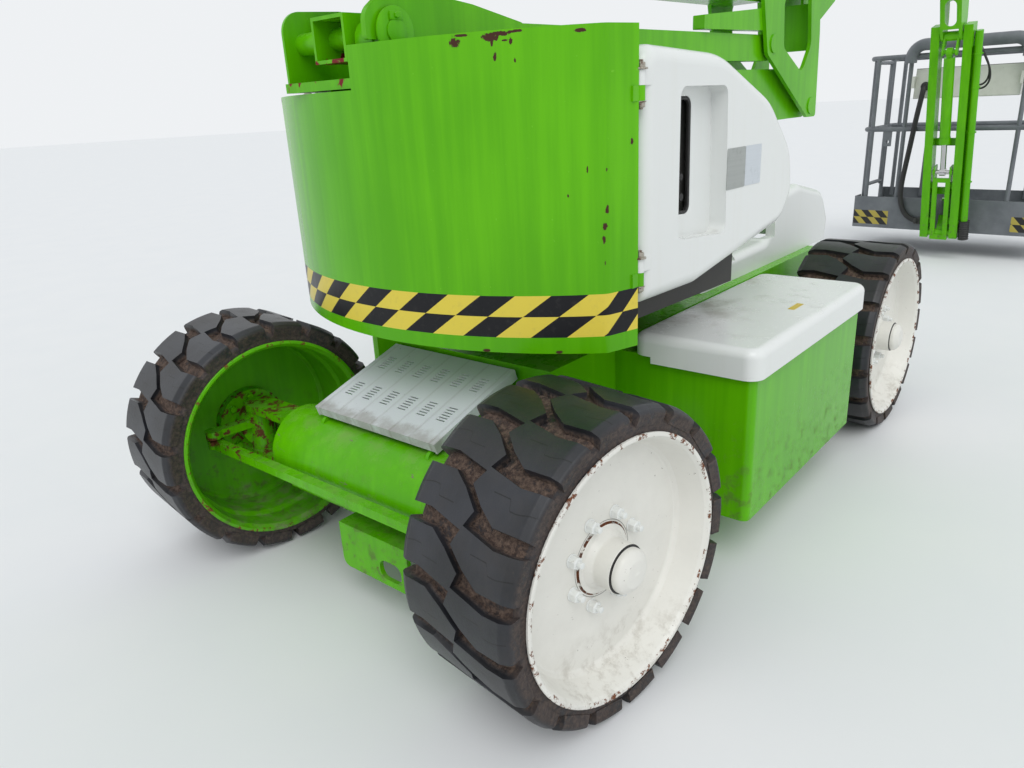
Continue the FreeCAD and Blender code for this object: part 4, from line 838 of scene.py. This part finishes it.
def add_block(shape, matrix, size, soft=0.0, steps=2):
    """A block centred on the matrix, with softened edges."""
    made = bmesh.ops.create_cube(shape, size=1.0, matrix=matrix @ Matrix.Diagonal((*size, 1)))["verts"]
    if soft:
        soften(shape, {e for v in made for e in v.link_edges}, soft, steps)


def add_bolt(shape, matrix, across, height, stud=0.0, washer=0.0):
    """A hexagon head or nut on the matrix's XY plane, with a washer under it and a stud through it."""
    base = 0.0
    if washer:
        add_rod(shape, matrix, washer, 0.0, 0.0025, 18, 0.0006)
        base = 0.0025
    corner = across / math.sqrt(3.0)
    made = bmesh.ops.create_cone(
        shape, cap_ends=True, segments=6, radius1=corner, radius2=corner, depth=height,
        matrix=matrix @ Matrix.Translation((0, 0, base + height / 2)),
    )["verts"]
    top = max((matrix.inverted() @ v.co).z for v in made)
    rim = {e for v in made for e in v.link_edges
           if all((matrix.inverted() @ w.co).z > top - 1e-5 for w in e.verts)}
    soften(shape, rim, across * 0.09, 1)
    if stud:
        add_rod(shape, matrix, across * 0.29, base + height - 0.002, base + height + stud, 14, 0.001)


def turned(matrix, axis):
    """The matrix with its Z turned to +X, -X, +Y or -Y of its own directions."""
    turns = {"+X": ("Y", 90), "-X": ("Y", -90), "+Y": ("X", -90), "-Y": ("X", 90), "-Z": ("X", 180)}
    name, angle = turns[axis]
    return matrix @ Matrix.Rotation(math.radians(angle), 4, name)


def at(matrix, x, y, z):
    return matrix @ Matrix.Translation((x, y, z))


print("piece helpers ready")

# %% [markdown]
# ## Wheel nuts
#
# Eight nuts hold each rim, on studs that stand out past them, at the hub's usual circle. They were
# sprayed over with the rim, so they take its white.

# %% Wheel nuts
NUT_CIRCLE = 0.1016
nut_paint = gel_coat("white_over_nuts", 0.0, 0.6)
for wheel, matrix in WHEELS.items():
    nuts = bmesh.new()
    for i in range(8):
        angle = math.radians(22.5 + 45 * i)
        spot = at(matrix, NUT_CIRCLE * math.cos(angle), DISC_FACE, NUT_CIRCLE * math.sin(angle))
        add_bolt(nuts, turned(spot, "+Y"), 0.024, 0.017, 0.011, 0.0155)
    piece("wheel_nuts_" + wheel, nuts, "wheel_" + wheel, nut_paint, 30)

# %% [markdown]
# ## Bolts on the hub flanges
#
# Seen from the inner side, each hub's drive unit is held to the axle by a round flange with eight
# bolt heads. On the steered axle they turn with the knuckle, on the fixed axle they stay.

# %% Flange bolts
FLANGE_FACE = 0.0385
for wheel, body in (("rear_left", "knuckle_left"), ("rear_right", "knuckle_right"),
                    ("front_left", "chassis"), ("front_right", "chassis")):
    bolts = bmesh.new()
    face = FLANGE_FACE if wheel.startswith("rear") else -0.0315
    for i in range(8):
        angle = math.radians(45 * i)
        spot = at(WHEELS[wheel], 0.084 * math.cos(angle), face, 0.084 * math.sin(angle))
        add_bolt(bolts, turned(spot, "-Y"), 0.019, 0.011, 0.0, 0.0125)
    piece("flange_bolts_" + wheel, bolts, body, LIME, 30)

# %% [markdown]
# ## Hinge hardware of the canopies
#
# Each canopy hangs on two hinges at the end of the counterweight. The CAD model has the pins and
# the brackets; what shows in the gap is a thick pale washer, a dark nut and a rusty bolt head.

# %% Hinge bolts
HINGE_SPOT = (-0.586, 0.596)
for side, tag in ((-1, "right"), (1, "left")):
    bolts = bmesh.new()
    for height in (0.871, 1.261):
        pin = at(TURRET, HINGE_SPOT[0], side * HINGE_SPOT[1], height)
        add_rod(bolts, pin, 0.0150, 0.0305, 0.0345, 24, 0.0008)
        add_bolt(bolts, at(pin, 0, 0, 0.0345), 0.019, 0.010, 0.005)
        add_bolt(bolts, turned(at(pin, 0, 0, -0.0305), "-Z"), 0.019, 0.010, 0.004, 0.0120)
    piece("canopy_hinge_bolts_" + tag, bolts, "turret", ZINC, 30)

# %% [markdown]
# ## The canopy's control pocket
#
# A tall slot opens inside the moulded pocket of the right canopy. A rubber strip trims its edge, and
# behind it a dark panel carries a red key handle and three small caps.

# %% Slot trim
def rounded_face(shape, matrix, corners, radius, steps=6):
    """A face through the corners (u, v) in the matrix's XZ plane, with rounded corners."""
    verts = [shape.verts.new(matrix @ Vector((u, 0, v))) for u, v in corners]
    shape.faces.new(verts)
    bmesh.ops.bevel(
        shape, geom=verts, offset=radius, segments=steps, affect="VERTICES", profile=0.5, material=-1
    )
    return list(shape.faces)[0]


def slot_trim():
    """A rubber strip as a ring: the slot's outline given a width, then a thickness."""
    corners = ((-0.4115, 0.9690), (-0.3070, 0.9630), (-0.3110, 1.2330), (-0.4115, 1.2350))
    shape = bmesh.new()
    face = rounded_face(shape, at(TURRET, 0, -0.5560, 0), corners, 0.021)
    bmesh.ops.inset_region(
        shape, faces=[face], thickness=0.0075, use_even_offset=True, use_boundary=True
    )
    bmesh.ops.delete(shape, geom=[face], context="FACES_ONLY")
    bmesh.ops.solidify(shape, geom=list(shape.faces), thickness=0.010)
    sharp = [e for e in shape.edges if e.calc_face_angle(0.0) > 1.0]
    soften(shape, sharp, 0.0022)
    return piece("pocket_slot_trim", shape, "canopy_right", HOSE, 50)


slot_trim()

# %% Panel inside the slot
def red_handle():
    material, shader, place = finish_of("red_key_handle")
    cloud = noise(place, 60.0, 4.0, 0.7)
    feed(shader, Base_Color=cloud.blend((0.62, 0.008, 0.018, 1), (0.30, 0.006, 0.012, 1)),
         Roughness=0.30 + cloud * 0.2)
    return material


panel = bmesh.new()
add_block(panel, at(TURRET, -0.335, -0.530, 1.100), (0.170, 0.004, 0.300), 0.0012)
piece("pocket_dark_panel", panel, "canopy_right", CAST)
caps = bmesh.new()
for x, z, size in ((-0.372, 1.030, 0.013), (-0.338, 1.004, 0.010), (-0.340, 1.052, 0.009)):
    add_rod(caps, turned(at(TURRET, x, -0.532, z), "-Y"), size, 0.0, 0.020, 20, 0.003)
piece("pocket_caps", caps, "canopy_right", HOSE)
key = bmesh.new()
spot = at(TURRET, -0.384, -0.532, 1.118)
add_rod(key, turned(spot, "-Y"), 0.008, 0.0, 0.014, 16, 0.001)
add_block(key, at(spot, 0, -0.017, 0), (0.016, 0.008, 0.060), 0.003)
piece("pocket_key_handle", key, "canopy_right", red_handle())

# %% [markdown]
# ## Blank plates and stickers
#
# The canopy carries a plate in two halves and the lid a small yellow sticker. Here they are blank:
# thin sheet with softened corners, one half brushed metal, the other white.

# %% Blank plates
def brushed_plate(name, colour, metal):
    material, shader, place = finish_of(name)
    brushed = noise(place, 60.0, 3.0, 0.6, (0.05, 1, 4.0))
    worn = noise(place, 45.0, 5.0, 0.7).ease(0.55, 0.75)
    dull = tuple(c * 0.72 for c in colour[:3]) + (1,)
    feed(shader, Base_Color=(brushed * 0.5 + worn * 0.4).blend(colour, dull),
         Metallic=metal, Roughness=0.30 + brushed * 0.15 + worn * 0.2)
    return material


def flat_plate(name, body, material, matrix, wide, tall, thick=0.0012, corner=0.004):
    """A thin sheet standing in the matrix's XZ plane, facing its -Y."""
    shape = bmesh.new()
    verts = bmesh.ops.create_grid(
        shape, x_segments=1, y_segments=1, size=0.5,
        matrix=turned(matrix, "-Y") @ Matrix.Diagonal((wide, tall, 1, 1)),
    )["verts"]
    bmesh.ops.bevel(
        shape, geom=verts, offset=corner, segments=4, affect="VERTICES", profile=0.5, material=-1
    )
    grown = bmesh.ops.extrude_face_region(shape, geom=list(shape.faces))["geom"]
    lift = matrix.to_3x3() @ Vector((0, -thick, 0))
    bmesh.ops.translate(shape, vec=lift, verts=[v for v in grown if isinstance(v, bmesh.types.BMVert)])
    return piece(name, shape, body, material)


GREY_PLATE = brushed_plate("blank_grey_plate", (0.40, 0.42, 0.40, 1), 0.35)
WHITE_PLATE = brushed_plate("blank_white_plate", (0.62, 0.66, 0.70, 1), 0.0)
YELLOW_STICKER = brushed_plate("blank_yellow_sticker", (0.70, 0.50, 0.02, 1), 0.0)
grey_spot, white_spot = at(TURRET, -0.159, -0.6000, 1.0565), at(TURRET, -0.066, -0.6000, 1.0570)
flat_plate("canopy_plate_grey", "canopy_right", GREY_PLATE, grey_spot, 0.096, 0.100)
flat_plate("canopy_plate_white", "canopy_right", WHITE_PLATE, white_spot, 0.088, 0.099)
lid_spot = at(CHASSIS, 0.103, -0.666, 0.6400) @ Matrix.Rotation(math.radians(-90), 4, "X")
flat_plate("lid_sticker", "lid_right", YELLOW_STICKER, lid_spot, 0.075, 0.020, 0.0006, 0.002)

# %% [markdown]
# ## Hoses
#
# A thick black hose hangs from the back of the console, outside the rails, and runs back into a
# gland on the toe plate. Two thin hydraulic hoses hang in loops beside the fly boom. Each is one
# smooth curve drawn from a few points in the turret's own directions, as long as the real hose.

# %% Hose curves
def hose(name, body, points, diameter, length):
    """A free hose from the first point to the last, both ends of which go into the object."""
    data = bpy.data.curves.new(name, "CURVE")
    data.dimensions = "3D"
    data.bevel_depth = diameter / 2
    data.bevel_resolution = 5
    data.resolution_u = 12
    data.use_fill_caps = True
    line = data.splines.new("NURBS")
    line.points.add(len(points) - 1)
    placed = [TURRET @ Vector(p) for p in points]
    for spot, place in zip(line.points, placed):
        spot.co = (*place, 1.0)
    line.order_u = 3
    line.use_endpoint_u = True
    data.materials.append(HOSE)
    made = bpy.data.objects.new(name, data)
    bpy.context.scene.collection.objects.link(made)
    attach(made, body)
    print(name, round(length, 3), "m long")
    return made


BASKET_HOSE = (
    (4.386, 0.262, 1.192), (4.350, 0.262, 1.184), (4.336, 0.266, 1.110), (4.319, 0.280, 0.965),
    (4.316, 0.292, 0.827), (4.315, 0.311, 0.650), (4.315, 0.326, 0.506), (4.315, 0.322, 0.390),
    (4.316, 0.282, 0.292), (4.317, 0.215, 0.250), (4.318, 0.180, 0.247),
)
hose("basket_hose", "basket", BASKET_HOSE, 0.036, 1.05)
LOOP = (
    (4.140, -0.094, 1.474), (4.150, -0.136, 1.386), (4.152, -0.181, 1.300), (4.152, -0.186, 1.224),
    (4.150, -0.150, 1.180), (4.146, -0.118, 1.188),
)
for tag, shift in (("upper", 0.0), ("lower", 0.022)):
    points = [(x - shift * 0.5, y - shift * 0.5, z - shift) for x, y, z in LOOP]
    hose("fly_boom_hose_" + tag, "fly_boom", points, 0.0125, 0.36)

# %% [markdown]
# ## Boots, glands and clamps
#
# The hose leaves the console through a tapered boot and enters a block on the toe plate. The hose
# conduit on the fly boom ends in a ribbed black boot and is held by narrow bands.

# %% Boots and clamps
def ribbed_boot(shape, matrix, low, high, radius, ribs, depth):
    """A bellows along the matrix's Z: one zigzag profile, spun round the axis."""
    step = (high - low) / (2 * ribs)
    outline = [(0.55 * radius, low)]
    outline += [(radius - (depth if i % 2 else 0.0), low + i * step) for i in range(2 * ribs + 1)]
    outline.append((0.55 * radius, high))
    verts = [shape.verts.new(matrix @ Vector((r, 0, z))) for r, z in outline]
    edges = [shape.edges.new(pair) for pair in zip(verts, verts[1:])]
    bmesh.ops.spin(
        shape, geom=verts + edges, cent=matrix.translation, axis=matrix.to_3x3() @ Vector((0, 0, 1)),
        angle=math.tau, steps=32, use_merge=True,
    )


boot = bmesh.new()
add_rod(boot, turned(at(TURRET, 4.386, 0.262, 1.190), "-X"), 0.030, 0.0, 0.010, 28, 0.002)
add_rod(boot, turned(at(TURRET, 4.378, 0.262, 1.190), "-X"), 0.027, 0.0, 0.024, 28, 0.003, 0.021)
piece("console_hose_boot", boot, "basket", BOOT)
gland = bmesh.new()
add_block(gland, at(TURRET, 4.324, 0.174, 0.247), (0.032, 0.030, 0.048), 0.003)
add_rod(gland, turned(at(TURRET, 4.318, 0.188, 0.247), "+Y"), 0.0225, 0.0, 0.020, 24, 0.002)
piece("toe_plate_gland", gland, "basket", CAST)

JIB_TOP, JIB_LOW = Vector((3.905, 0, 1.490)), Vector((4.214, 0, 0.192))
along = (JIB_LOW - JIB_TOP).normalized()
hang = Vector((0, 0, -1)).rotation_difference(along).to_matrix().to_4x4()
JIB = TURRET @ Matrix.Translation(JIB_TOP) @ hang
print("fly boom is", round((JIB_LOW - JIB_TOP).length, 3), "m between its pins")
bands = bmesh.new()
for station in (0.120, 0.330, 0.620, 0.960):
    add_rod(bands, at(JIB, 0.014, -0.148, -station), 0.0262, -0.006, 0.006, 32, 0.001)
    add_bolt(bands, turned(at(JIB, 0.014, -0.1735, -station), "-Y"), 0.010, 0.006)
piece("conduit_bands", bands, "fly_boom", LIME)
low, high = JIB @ Vector((0.0, -0.1560, -1.242)), JIB @ Vector((-0.006, -0.1580, -1.370))
rings = bmesh.new()
foot = Matrix.Translation(low) @ Vector((0, 0, 1)).rotation_difference(high - low).to_matrix().to_4x4()
ribbed_boot(rings, foot, -0.004, 0.130, 0.0348, 8, 0.0036)
piece("conduit_foot_boot", rings, "fly_boom", BOOT, 20)

# %% [markdown]
# ## Pin caps
#
# Each large pivot pin in the turret's cheeks ends in a round cap, kept by a plate with one bolt.

# %% Pin caps
PIN_SPOTS = (
    # name, x, z, cap radius, sides of the turret (1 is the right)
    ("low", -0.430, 1.160, 0.040, (1, -1)),
    ("high", -0.820, 1.400, 0.052, (1,)),
)
CHEEK_FACE = -0.1112
for tag, x, z, radius, sides in PIN_SPOTS:
    for side in sides:
        cap = bmesh.new()
        seat = turned(at(TURRET, x, side * CHEEK_FACE, z), "-Y" if side > 0 else "+Y")
        add_rod(cap, seat, radius, 0.0, 0.006, 40, 0.0012)
        add_rod(cap, seat, 0.026, 0.006, 0.011, 32, 0.0015)
        add_block(cap, at(seat, 0, radius * 0.60, 0.009), (0.034, 0.018, 0.006), 0.0012)
        add_bolt(cap, at(seat, 0, radius * 0.62, 0.012), 0.012, 0.005)
        piece("pin_cap_" + tag + ("_right" if side > 0 else "_left"), cap, "turret", TURRET_PAINT)
